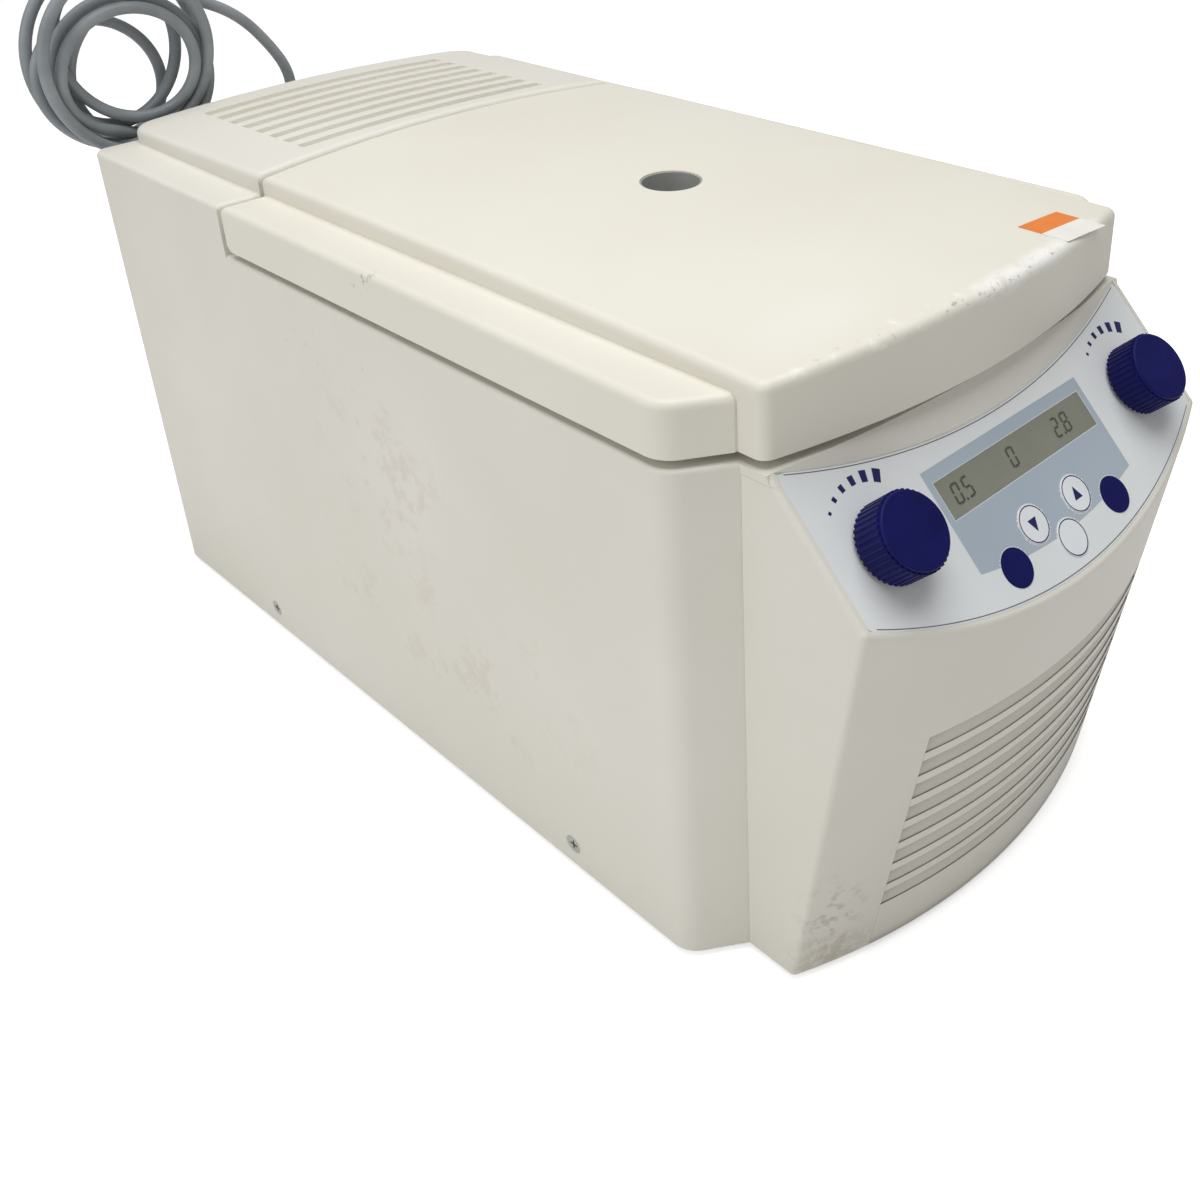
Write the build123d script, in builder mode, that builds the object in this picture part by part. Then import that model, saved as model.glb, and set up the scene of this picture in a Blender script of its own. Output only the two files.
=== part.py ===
from build123d import *
import os
from math import asin, cos, degrees, hypot, pi, radians, sin, tan

# A refrigerated bench microcentrifuge, in millimetres. X runs left to right, the front faces -Y,
# Z is up, and the origin lies on the bench under the middle of the machine without its cord.
os.makedirs("parts", exist_ok=True)

# Clearances between pieces
FIT = 0.05            # running fit, radial
GAP = 0.3             # between neighbours that must not touch
SEAT = 0.1            # between a piece and the recess it sits in
PRESS = 0.02          # a pin pressed into its ear

# Housing
HALF = 145.0          # half the width of the housing and the lid
FOOT_H = 4.0          # the housing stands this far above the bench
RIM_Z = 253.0         # deck under the lid
SHOULDER_Z = RIM_Z + 26.7    # top of the low shoulders behind the lid
WALL = 4.0
REAR_Y = 260.3        # rear face of the shoulders
REAR_BAND = 3.6       # the middle of the rear face stands this far proud
FRONT_CORNER_Y = -212.1
FRONT_CORNER_R = 14.0
REAR_CORNER_R = 8.0
RIM_ROUND = 2.0
SHOULDER_ROUND = 3.0

# Fascia: a bowed front that leans forward as it rises, cut by the sloping control panel
FASCIA_HALF = HALF - 23.8
FASCIA_STEP_Y = FRONT_CORNER_Y - 16.3
FASCIA_FOOT_Y = FASCIA_STEP_Y - 26.0
FASCIA_BULGE = 26.2
FASCIA_LEAN = 0.163
FASCIA_ROUND = 3.0
PANEL_TOP_Y = FASCIA_STEP_Y - 13.0
PANEL_TOP_Z = RIM_Z - 0.2
PANEL_SLOPE = 46.3    # degrees from level
COVE_LEAN = 0.35      # the wall above the panel leans back this much per mm
PANEL = Plane(
    origin=(0, PANEL_TOP_Y, PANEL_TOP_Z),
    x_dir=(1, 0, 0),
    z_dir=(0, -sin(radians(PANEL_SLOPE)), cos(radians(PANEL_SLOPE))),
)

# Lid and rear cover share one crowned top
RAISED_HALF = HALF - 25.0
CROWN_Z = SHOULDER_Z + 15.3
CROWN_Y = 13.4
CROWN_ACROSS = 1425.0
CROWN_ALONG = 12500.0
RAISED_ROUND = 4.0
RAISED_CORNER_R = 6.0
REAR_COVER_CORNER_R = 14.0
COVER_LOW_Z = RIM_Z - 20
COVER_TOP_Z = CROWN_Z - 0.4    # at the seam; from there the rear cover falls by its slope
COVER_SLOPE = 0.79     # degrees
LID_BOTTOM_Z = RIM_Z + 3.9
FLANGE_TOP_Z = SHOULDER_Z + 0.8
FLANGE_ROUND = 4.0
LID_REAR_Y = 107.8
SEAM_BULGE = 5.0
SEAM_GAP = 4.5
LID_CORNER_Y = FRONT_CORNER_Y + 1.5
LID_STEP_Y = FASCIA_STEP_Y + 2.6
LID_FRONT_Y = FASCIA_STEP_Y - 10.1
LID_FRONT_BULGE = 16.6
LID_WALL = 3.5
LID_REAR_CHAMFER = 3.0
LID_NOTCH_TOP_Z = FLANGE_TOP_Z + 4.5
LINER_T = 2.0
LID_PLATE_T = 3.0
LID_PLATE_HALF = RAISED_HALF - 12.0
LID_PLATE_FRONT_Y = LID_FRONT_Y + 2.5
LID_PLATE_REAR_Y = LID_REAR_Y - 4.3

# Label on the panel, in the panel's own plane: x across, s down the slope
LABEL_HALF = FASCIA_HALF - 3.8
LABEL_TOP_S = 21.4
LABEL_CORNER_S = 65.6
LABEL_BOTTOM_S = 95.7
LABEL_RECESS = 0.6
LABEL_T = 0.5
LABEL_CORNER_R = 3.0
LCD_W = 103.6
LCD_H = 16.4
LCD_S = 42.2
LCD_T = 2.0
KEY_R = 8.3
KEY_PROUD = 0.3
KEY_DEPTH = 3.2
KEY_TRAVEL = 0.4
KEY_STEM_R = 2.5
KNOB_X = LABEL_HALF - 28.9
KNOB_S = 43.6
KNOB_R = 16.5
KNOB_TOP = 17.4
KNOB_BASE = 1.5
KNOB_RIBS = 40
KNOB_TRAVEL = 1.0
SHAFT_R = 3.0
BUSH_R = 4.9
BOARD_DEPTH = 12.0
BOARD_T = 1.6
BOARD_HALF = LABEL_HALF - 9.4
BOARD_TOP_S = 28.0
BOARD_BOTTOM_S = 92.0
BOSS_R = 3.0
BOSS_X = 62.0
BOSS_S = 33.0
LOW_BOSS_X = 45.0
LOW_BOSS_S = 58.0
KEY_SWITCH_W = 6.0
STEM_DEPTH = 8.6
ENCODER_W = 13.0
KNOB_WALL = 3.0
KNOB_SKIRT = 9.0
KNOB_CAP = 1.6
KNOB_CAP_IN = 0.8
RIB_GROOVE_R = 0.75
RIB_GROOVE_OUT = 0.15

# Front grille
GRILLE_TOP_Z = 135.4
GRILLE_TOP_HALF = FASCIA_HALF - 39.7
GRILLE_FOOT_HALF = FASCIA_HALF - 35.6
GRILLE_T = 6.0
LOUVRES = 8
LOUVRE_PITCH = 13.5
LOUVRE_H = 8.9
LOUVRE_DEPTH = 4.6
LOUVRE_STEP = 0.5
LOUVRE_SLIT = 2.4

# Grooves in the rear cover
GROOVES = 8
GROOVE_FIRST_Y = LID_REAR_Y + 20.7
GROOVE_PITCH = 15.2
GROOVE_W = 7.6
GROOVE_DEPTH = 2.2
GROOVE_HALF = RAISED_HALF - 37.5

# Rotor chamber, on the axis of the sight hole in the lid
AXIS_Y = -68.9
BOWL_R = HALF - 47.0
BOWL_T = 1.2
BOWL_FLOOR_Z = 151.2
BOWL_FLANGE_R = BOWL_R + 10.0
BOWL_NECK_R = 20.0
DECK_HOLE_R = BOWL_R + 6.0
COIL_TUBE_R = 3.0
COIL_TURNS = 6
COIL_PITCH = 12.5
COIL_LOW_Z = 168.0
FOAM_R = BOWL_R + 23.0
FOAM_LOW_Z = 132.0
ROTOR_R = BOWL_R - 7.0
ROTOR_LOW_Z = 166.0
ROTOR_RIM_Z = 224.0
ROTOR_HUB_R = ROTOR_R - 45.0
ROTOR_HUB_Z = 198.0
TUBE_HOLES = 24
TUBE_R = 5.6
TUBE_DEPTH = 36.0
SPINDLE_R = 6.0
SPINDLE_TOP_Z = 205.0
NUT_R = 10.0
NUT_H = 10.0
ROTOR_LID_R = ROTOR_R - 14.0
ROTOR_LID_T = 5.0
ROTOR_KNOB_R = 14.0
ROTOR_KNOB_H = 13.0

# Motor
MOTOR_R = 50.0
MOTOR_NECK_R = 18.0
MOTOR_NECK_Z = 156.0
MOTOR_TOP_Z = 124.0
MOTOR_PLATE_R = 76.0
MOTOR_PLATE_T = 3.0
MOUNT_R = 9.0
MOUNT_H = 20.0
MOTOR_MOUNT_R = 62.0

# Base and feet
BASE_T = 2.0
BASE_LIP = 26.0
BASE_NOSE = 20.0
FOOT_R = 10.0
FOOT_X = HALF - 30.0
FOOT_FRONT_Y = FRONT_CORNER_Y + 27.1
FOOT_REAR_Y = REAR_Y - 35.3
SCREW_Z = 16.0
SCREW_YS = (-135.5, 142.3)
SCREW_HEAD_R = 4.6
SCREW_HEAD_H = 2.6
SCREW_R = 2.0
SCREW_LENGTH = 8.0

# Hinge and latch
PIVOT_Y = LID_REAR_Y - 8.4
PIVOT_Z = FLANGE_TOP_Z + 1.3
HINGE_X = RAISED_HALF - 25.0
HINGE_ARM_W = 8.0
HINGE_ARM_T = 9.0
HINGE_KNUCKLE_R = 5.0
HINGE_PIN_R = 2.5
HINGE_FOOT_W = 20.0
HINGE_FOOT_L = 28.0
HINGE_FOOT_T = 4.0
EAR_W = 4.0
EAR_GAP = 1.0
HOOK_T = 3.0
HOOK_Y = FASCIA_STEP_Y - 0.6
HOOK_L = 14.0
HOOK_LOW_Z = RIM_Z - 25.0
BOLT_W = 7.6
BOLT_Z = HOOK_LOW_Z + 8.0
BOLT_TRAVEL = 10.0
BOLT_TIP_GAP = 2.5
EYE_ROOM = 1.0        # the hook's eye is this much wider than the bolt, all round
LATCH_LOW_Z = HOOK_LOW_Z - 6.0
LATCH_RIGHT_X = 36.0
LATCH_W = 27.0
LATCH_SLOT_W = 6.4
SOLENOID_W = 22.0
SOLENOID_L = 36.0

# Sight hole
SIGHT_R = 14.2
SIGHT_TUBE_T = 0.9
SIGHT_GLASS_Z = LID_BOTTOM_Z + 11.1
SIGHT_GLASS_T = 3.0
SIGHT_LEDGE = 2.0
SIGHT_FLANGE_T = 1.2
SIGHT_FLANGE_W = 4.0
SIGHT_DROP = 0.8

# Cooling
COMPRESSOR_X = 71.0 - HALF
COMPRESSOR_Y = 122.0
COMPRESSOR_R = 50.0
COMPRESSOR_TOP_Z = 150.0
COMPRESSOR_DOME = 16.0
SUCTION_OUT = (14.0, -12.0)      # from the compressor's middle
DISCHARGE_OUT = (-11.0, 18.0)
PIPE_R = 3.0
PIPE_BEND = 15.0
FAN_Z = 125.0
FAN_FRAME_W = 120.0
FAN_FRAME_T = 25.0
FAN_BORE_R = 57.0
FAN_BLADE_R = 55.0
FAN_HUB_R = 18.0
FAN_BLADES = 7
FAN_PIN_R = 2.0
FAN_PITCH = 38.0
FAN_CHORD = 22.0
FAN_BLADE_T = 1.8
CONDENSER_T = 40.0
CONDENSER_HALF = HALF - 53.0
CONDENSER_H = 170.0
CONDENSER_FINS = 22
CONDENSER_FIN_T = 0.8
CONDENSER_GAP = 4.0
POWER_X = HALF - 67.0
POWER_Y = 105.0
POWER_W = 84.0
POWER_L = 110.0
POWER_PARTS_H = 34.0
HEAT_SINK_H = 16.0

# Hood over the air outlet
HOOD_HALF = RAISED_HALF - 1.0
HOOD_REAR_Y = REAR_Y + 45.6
HOOD_TOP_Z = RIM_Z + 11.0
HOOD_LOW_Z = 12.0
HOOD_T = 3.0
HOOD_CORNER_R = 8.0
HOOD_LOUVRE_PITCH = 12.0
HOOD_LOUVRE_HALF = 60.0
HOOD_LOUVRE_H = 4.5
HOOD_LOUVRES = 9
SWITCH_X = HOOD_HALF - 41.0
SWITCH_Z = 40.0
SWITCH_W = 30.0
SWITCH_H = 22.0
ROCKER_HALF_ANGLE = 9.0
ROCKER_L = 20.0
ROCKER_W = 13.0
ROCKER_T = 5.0
ROCKER_SUNK = 1.5
ROCKER_PIVOT_R = 3.0
SWITCH_FLANGE_T = 1.5
SWITCH_DEPTH = 20.0

# Cord
CORD_R = 3.5
CORNER_SHARE = 0.45   # part of the shorter run that a bend takes
COIL_X = 17.5 - HOOD_HALF
COIL_R = 58.0
COIL_BAND = 25.0
COIL_W = 22.0
CORD_Y = HOOD_REAR_Y - 19.9
RELIEF_X = -1.0
RELIEF_LOW_Z = HOOD_TOP_Z - 6.0
RELIEF_R = 6.4
RELIEF_TOP_Z = HOOD_TOP_Z + 15.5
PLUG_X = 50.0
PLUG_Y = 338.7
PLUG_L = 36.0
PLUG_W = 26.0
PLUG_H = 18.0
PLUG_PIN_R = 2.4
PLUG_PIN_PITCH = 14.0
PLUG_PIN_L = 19.0


def mirrored(points):
    """the points of an outline's left half and their mirror images, in one run"""
    return list(points) + [(-x, y) for x, y in reversed(points)]


def body_outline():
    Polyline(
        *mirrored([(-HALF, REAR_Y), (-HALF, FRONT_CORNER_Y), (-FASCIA_HALF, FASCIA_STEP_Y)]),
        close=True,
    )


def crown(drop):
    """a block whose top is the crowned surface, lowered by drop"""
    top = CROWN_Z - drop
    across = CROWN_ACROSS - drop
    along = CROWN_ALONG - drop
    edge = across - (across**2 - (HALF + 20) ** 2) ** 0.5
    turn = degrees(2 * (REAR_Y + 80) / along)
    axis = Axis((0, CROWN_Y, top - along), (1, 0, 0))
    with BuildPart() as block:
        with BuildSketch(Plane.XZ.offset(-CROWN_Y)):
            with BuildLine():
                ThreePointArc((-HALF - 20, top - edge), (0, top), (HALF + 20, top - edge))
                Polyline(
                    (HALF + 20, top - edge),
                    (HALF + 20, FOOT_H - 20),
                    (-HALF - 20, FOOT_H - 20),
                    (-HALF - 20, top - edge),
                )
            make_face()
        revolve(axis=axis, revolution_arc=turn)
    return block.part.rotate(axis, -turn / 2)


def tipped_back(part):
    """turns what was made level about the seam, to the small slope of the rear cover"""
    return part.rotate(Axis((0, LID_REAR_Y, COVER_TOP_Z), (1, 0, 0)), -COVER_SLOPE)


def cover_crown(drop):
    """a block whose top is the rear cover's surface, lowered by drop"""
    radius = CROWN_ACROSS - drop
    top = COVER_TOP_Z - drop
    half = HALF + 20
    edge = top - radius + (radius**2 - half**2) ** 0.5
    with BuildPart() as block:
        with BuildSketch(Plane.XZ.offset(-LID_REAR_Y + 40)):
            with BuildLine():
                ThreePointArc((-half, edge), (0, top), (half, edge))
                Polyline((half, edge), (half, FOOT_H - 20), (-half, FOOT_H - 20), (-half, edge))
            make_face()
        extrude(amount=-(REAR_Y - LID_REAR_Y + 120))
    return tipped_back(block.part)


def at_y(sketch, y):
    """the corners of a sketch that lie at this y"""
    return [v for v in sketch.vertices() if abs(v.Y - y) < 0.01]


def fascia_form(inset, low):
    """the fascia, or the space inside it when inset is the wall's thickness"""
    panel = PANEL.offset(-inset)
    with BuildPart() as form:
        with BuildSketch(Plane.XY.offset(low)):
            with BuildLine():
                foot = FASCIA_FOOT_Y + inset - FASCIA_LEAN * (low - FOOT_H)
                side = FASCIA_HALF - inset
                Polyline((side, foot), (side, -160), (-side, -160), (-side, foot))
                ThreePointArc((-side, foot), (0, foot - FASCIA_BULGE), (side, foot))
            make_face()
        rise = RIM_Z - inset - low
        extrude(amount=rise * hypot(1, FASCIA_LEAN), dir=(0, -FASCIA_LEAN, 1))
        with BuildSketch(panel):
            with BuildLine():
                up = 1.2 * inset
                ThreePointArc((-LABEL_HALF, up), (0, up - LABEL_TOP_S), (LABEL_HALF, up))
                Polyline(
                    (LABEL_HALF, up),
                    (HALF + 20, up),
                    (HALF + 20, -2 * LABEL_BOTTOM_S),
                    (-HALF - 20, -2 * LABEL_BOTTOM_S),
                    (-HALF - 20, up),
                    (-LABEL_HALF, up),
                )
            make_face()
        extrude(amount=2 * LABEL_BOTTOM_S, dir=(0, COVE_LEAN, 1), mode=Mode.SUBTRACT)
        if inset == 0:
            lean = [
                e for e in form.edges()
                if abs(abs(e.center().X) - FASCIA_HALF) < 0.5 and e.center().Y < FASCIA_FOOT_Y
                and e.length > 100
            ]
            fillet(lean, FASCIA_ROUND)
            face = [
                f for f in form.faces().filter_by(GeomType.PLANE)
                if f.normal_at().dot(PANEL.z_dir) > 0.999
            ][0]
            low_edges = [e for e in face.edges() if e.center().Y < PANEL_TOP_Y - 20]
            fillet(low_edges, FASCIA_ROUND - 0.5)
    return form.part


def seam_arc(y, half):
    """the bowed line across the top where the lid meets the rear cover"""
    ThreePointArc((-half, y), (0, y + SEAM_BULGE), (half, y))


def shoulder_outline(inset):
    """the plan of the housing behind the lid"""
    seam = LID_REAR_Y + SEAM_GAP + inset
    side = HALF - inset
    half = RAISED_HALF - inset
    rear = REAR_Y - inset
    seam_arc(seam, half)
    Polyline((half, seam), (side, seam), (side, rear), (-side, rear), (-side, seam), (-half, seam))


def rear_form(inset):
    """the raised rear cover, or the space under it"""
    seam = LID_REAR_Y + SEAM_GAP + inset
    rear = REAR_Y + REAR_BAND - inset
    side = RAISED_HALF - inset
    with BuildPart() as form:
        with BuildSketch(Plane.XY.offset(COVER_LOW_Z)) as outline:
            with BuildLine():
                seam_arc(seam, side)
                Polyline((side, seam), (side, rear), (-side, rear), (-side, seam))
            make_face()
            fillet(at_y(outline, rear), REAR_COVER_CORNER_R - inset)
        extrude(amount=CROWN_Z + 10 - COVER_LOW_Z)
        add(cover_crown(inset), mode=Mode.INTERSECT)
        if inset == 0:
            fillet(form.faces().sort_by(Axis.Z)[-1].edges(), RAISED_ROUND)
    return form.part


def cover_grooves():
    """eight shallow grooves across the rear cover, each deepest at its rear wall"""
    middle_z = COVER_TOP_Z - CROWN_ACROSS
    half_turn = degrees(asin(GROOVE_HALF / CROWN_ACROSS))
    start = Plane(origin=(0, 0, middle_z), x_dir=(0, 1, 0), z_dir=(1, 0, 0)).rotated((0, -half_turn, 0))
    with BuildPart() as grooves:
        with BuildSketch(start):
            for groove in range(GROOVES):
                rear = GROOVE_FIRST_Y + groove * GROOVE_PITCH + GROOVE_W
                with BuildLine():
                    Polyline(
                        (rear - 2 * GROOVE_W, CROWN_ACROSS + GROOVE_DEPTH),
                        (rear, CROWN_ACROSS - GROOVE_DEPTH),
                        (rear, CROWN_ACROSS + GROOVE_DEPTH),
                        close=True,
                    )
                make_face()
        revolve(axis=Axis((0, 0, middle_z), (0, 1, 0)), revolution_arc=2 * half_turn)
    return tipped_back(grooves.part)


def housing_form():
    """the outside of the housing"""
    with BuildPart() as form:
        with BuildSketch(Plane.XY.offset(FOOT_H)) as outline:
            with BuildLine():
                body_outline()
            make_face()
            fillet(at_y(outline, FRONT_CORNER_Y), FRONT_CORNER_R)
            fillet(at_y(outline, REAR_Y), REAR_CORNER_R)
        extrude(amount=RIM_Z - FOOT_H)
        with BuildSketch(Plane.XY.offset(RIM_Z)) as outline:
            with BuildLine():
                shoulder_outline(0)
            make_face()
            fillet(at_y(outline, REAR_Y), REAR_CORNER_R)
        extrude(amount=SHOULDER_Z - RIM_Z)
        fillet(form.edges().group_by(Axis.Z)[-1], SHOULDER_ROUND)
        rim = [
            e for e in form.edges().filter_by(lambda e: abs(e.center().Z - RIM_Z) < 0.01)
            if e.center().Y < LID_REAR_Y and abs(e.center().X) > FASCIA_HALF - 1
        ]
        fillet(rim, RIM_ROUND)
        with BuildSketch(Plane.XY.offset(FOOT_H)):
            with Locations((0, REAR_Y)):
                Rectangle(2 * RAISED_HALF, 2 * REAR_BAND)
        extrude(amount=SHOULDER_Z - SHOULDER_ROUND - FOOT_H)
        add(rear_form(0))
        add(fascia_form(0, FOOT_H))
    return form.part


def housing_space():
    """the space inside the housing, open at the bottom"""
    low = FOOT_H - 1
    with BuildPart() as form:
        with BuildSketch(Plane.XY.offset(low)):
            with BuildLine():
                body_outline()
            make_face()
            offset(amount=-WALL, kind=Kind.INTERSECTION)
        extrude(amount=RIM_Z - WALL - low)
        with BuildSketch(Plane.XY.offset(RIM_Z - WALL - 1)):
            with BuildLine():
                shoulder_outline(WALL)
            make_face()
        extrude(amount=SHOULDER_Z - RIM_Z + 1)
        add(rear_form(WALL))
        add(fascia_form(WALL, low))
    return form.part


def front_y(z):
    """where the middle of the fascia's front lies at this height"""
    return FASCIA_FOOT_Y - FASCIA_BULGE - FASCIA_LEAN * (z - FOOT_H)


FASCIA_ARC_R = (FASCIA_HALF**2 + FASCIA_BULGE**2) / (2 * FASCIA_BULGE)


def label_outline(shrink):
    half = LABEL_HALF - shrink
    ThreePointArc((-half, -shrink), (0, -LABEL_TOP_S - shrink), (half, -shrink))
    Line((half, -shrink), (half, -LABEL_CORNER_S))
    ThreePointArc((half, -LABEL_CORNER_S), (0, -LABEL_BOTTOM_S + shrink), (-half, -LABEL_CORNER_S))
    Line((-half, -LABEL_CORNER_S), (-half, -shrink))


KEYS = {
    "key_short": (-36.7, 78.9),
    "key_down": (-15.7, 69.1),
    "key_fast": (0.0, 82.6),
    "key_up": (15.7, 69.1),
    "key_open": (36.7, 78.9),
}
KEY_PLACES = [(x, -s) for x, s in KEYS.values()]
KNOB_PLACES = [(-KNOB_X, -KNOB_S), (KNOB_X, -KNOB_S)]


def grille_prism(shrink):
    """the region of the fascia that the grille fills, as a block through its wall"""
    with BuildPart() as block:
        with BuildSketch(Plane.XZ.offset(-FASCIA_STEP_Y)):
            top = GRILLE_TOP_HALF - shrink
            foot = GRILLE_FOOT_HALF - shrink
            with BuildLine():
                Polyline(
                    *mirrored([(-top, GRILLE_TOP_Z - shrink), (-foot, FOOT_H - 2 + shrink)]),
                    close=True,
                )
            make_face()
        extrude(amount=4 * FASCIA_BULGE)
    return block.part


def fascia_region(grow):
    """the room of the fascia moulding: before its seam, under the deck and behind the panel's face"""
    with BuildPart() as block:
        with BuildSketch(Plane.XY):
            with Locations((0, FASCIA_STEP_Y - SEAT + grow)):
                Rectangle(2 * HALF, 4 * FASCIA_BULGE, align=(Align.CENTER, Align.MAX))
        extrude(amount=RIM_Z - WALL - SEAT + grow)
        with BuildSketch(PANEL.offset(grow)):
            Rectangle(4 * HALF, 8 * HALF)
        extrude(amount=-4 * HALF, mode=Mode.INTERSECT)
    return block.part


# Housing and fascia in one, with deck, panel and grooves, before they part at their seam
with BuildPart() as mouldings:
    add(housing_form())
    add(housing_space(), mode=Mode.SUBTRACT)
    with BuildSketch(PANEL):
        with BuildLine():
            label_outline(0)
        make_face()
    extrude(amount=-LABEL_RECESS, mode=Mode.SUBTRACT)
    with BuildSketch(PANEL):
        with Locations(*KEY_PLACES):
            Circle(KEY_R + FIT)
        with Locations(*KNOB_PLACES):
            Circle(BUSH_R + SEAT)
        with Locations((0, -LCD_S)):
            Rectangle(LCD_W + 2 * SEAT, LCD_H + 2 * SEAT)
    extrude(amount=-1.5 * WALL, mode=Mode.SUBTRACT)
    add(grille_prism(0), mode=Mode.SUBTRACT)
    with BuildSketch(Plane.XY.offset(RIM_Z - 2 * WALL)):
        with Locations((0, AXIS_Y)):
            Circle(DECK_HOLE_R)
        with Locations((0, HOOK_Y)):
            Rectangle(HOOK_T + 4, HOOK_L + 8)
        with Locations((-HINGE_X, PIVOT_Y), (HINGE_X, PIVOT_Y)):
            Rectangle(HINGE_ARM_W + 1, HINGE_ARM_T + 2)
    extrude(amount=2.5 * WALL, mode=Mode.SUBTRACT)
    add(cover_grooves(), mode=Mode.SUBTRACT)
    for y in SCREW_YS:
        for side in (-1, 1):
            with Locations(Plane(origin=(side * HALF, y, SCREW_Z), z_dir=(side, 0, 0))):
                CounterSinkHole(SCREW_R + SEAT, SCREW_HEAD_R + 0.6, 3 * WALL)
    with BuildSketch(Plane.XZ.offset(-REAR_Y + 2 * WALL)):
        with Locations((0, FAN_Z)):
            Rectangle(2 * FAN_BORE_R, 2 * FAN_BORE_R)
    extrude(amount=-4 * WALL, mode=Mode.SUBTRACT)

with BuildPart() as housing_shell:
    add(mouldings.part)
    add(fascia_region(SEAT), mode=Mode.SUBTRACT)
housing_shell.part.label = "housing_shell"
export_step(housing_shell.part, "parts/housing_shell.step")

# Fascia with the bosses that its board stands on
with BuildPart() as front_fascia:
    add(mouldings.part)
    add(fascia_region(0), mode=Mode.INTERSECT)
    with BuildSketch(PANEL.offset(-BOARD_DEPTH)):
        with Locations((-BOSS_X, -BOSS_S), (BOSS_X, -BOSS_S), (-LOW_BOSS_X, -LOW_BOSS_S), (LOW_BOSS_X, -LOW_BOSS_S)):
            Circle(BOSS_R)
    extrude(amount=BOARD_DEPTH - WALL / 2)
front_fascia.part.label = "front_fascia"
export_step(front_fascia.part, "parts/front_fascia.step")


# Steel base with turned-up lips that the side screws reach
with BuildPart() as base_plate:
    with BuildSketch(Plane.XY.offset(FOOT_H)):
        with BuildLine():
            body_outline()
        make_face()
        offset(amount=-WALL - GAP, kind=Kind.INTERSECTION)
    extrude(amount=BASE_T)
    with BuildSketch(Plane.XY.offset(FOOT_H)):
        half = GRILLE_FOOT_HALF - GRILLE_T
        front = FASCIA_FOOT_Y + GRILLE_T + GAP
        with BuildLine():
            Polyline((half, front), (half, AXIS_Y), (-half, AXIS_Y), (-half, front))
            ThreePointArc((-half, front), (0, front - BASE_NOSE), (half, front))
        make_face()
    extrude(amount=BASE_T)
    with BuildSketch(Plane.XY.offset(FOOT_H)):
        for side in (-1, 1):
            with Locations((side * (HALF - WALL - GAP - BASE_T / 2), 0)):
                Rectangle(BASE_T, REAR_Y - FRONT_CORNER_Y - 80)
    extrude(amount=BASE_LIP)
    for y in SCREW_YS:
        for side in (-1, 1):
            with Locations(Plane(origin=(side * HALF, y, SCREW_Z), z_dir=(side, 0, 0))):
                Hole(SCREW_R + SEAT, 3 * WALL)
    with BuildSketch(Plane.XY.offset(FOOT_H)):
        with GridLocations(16, 20, 8, 3):
            SlotOverall(12, 4)
    extrude(amount=BASE_T, mode=Mode.SUBTRACT)
base_plate.part.label = "base_plate"
export_step(base_plate.part, "parts/base_plate.step")

# Four rubber feet
with BuildPart() as feet:
    with BuildSketch():
        for y in (FOOT_FRONT_Y, FOOT_REAR_Y):
            with Locations((-FOOT_X, y), (FOOT_X, y)):
                Circle(FOOT_R)
    extrude(amount=FOOT_H)
    chamfer(feet.edges().group_by(Axis.Z)[0], 1)
feet.part.label = "feet"
export_step(feet.part, "parts/feet.step")

# Countersunk screws through the sides
with BuildPart() as side_screws:
    for side in (-1, 1):
        for y in SCREW_YS:
            plane = Plane(origin=(side * (HALF - 0.4), y, SCREW_Z), z_dir=(-side, 0, 0))
            with BuildSketch(plane):
                Circle(SCREW_HEAD_R)
            extrude(amount=SCREW_HEAD_H, taper=45)
            with BuildSketch(plane):
                Circle(SCREW_R)
            extrude(amount=SCREW_LENGTH)
            with BuildSketch(plane):
                Rectangle(5.0, 1.0)
                Rectangle(1.0, 5.0)
            extrude(amount=1.2, mode=Mode.SUBTRACT)
side_screws.part.label = "side_screws"
export_step(side_screws.part, "parts/side_screws.step")

# Louvred grille let into the fascia
with BuildPart() as front_grille:
    add(fascia_form(0, FOOT_H))
    add(fascia_form(GRILLE_T, FOOT_H - 1), mode=Mode.SUBTRACT)
    add(grille_prism(SEAT), mode=Mode.INTERSECT)
    for louvre in range(LOUVRES):
        top = GRILLE_TOP_Z - louvre * LOUVRE_PITCH
        centre_y = front_y(top - LOUVRE_H / 2) + FASCIA_ARC_R
        centre = Plane(origin=(0, centre_y, top), x_dir=(0, 1, 0), z_dir=(1, 0, 0))
        for reach, outline in (
            (GRILLE_FOOT_HALF + 3, [(-2, 0), (LOUVRE_DEPTH, 0), (LOUVRE_STEP, -LOUVRE_H), (-2, -LOUVRE_H)]),
            (GRILLE_TOP_HALF - 6, [(0, -0.4), (3 * WALL, -0.4), (3 * WALL, -LOUVRE_SLIT), (0, -LOUVRE_SLIT)]),
        ):
            turn = degrees(asin(reach / FASCIA_ARC_R))
            with BuildSketch(centre.rotated((0, 0, -turn))):
                with BuildLine():
                    Polyline(*[(front_y(top + z) + y - centre_y, z) for y, z in outline], close=True)
                make_face()
            revolve(axis=Axis((0, centre_y, 0), (0, 0, 1)), revolution_arc=2 * turn, mode=Mode.SUBTRACT)
front_grille.part.label = "front_grille"
export_step(front_grille.part, "parts/front_grille.step")

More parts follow.
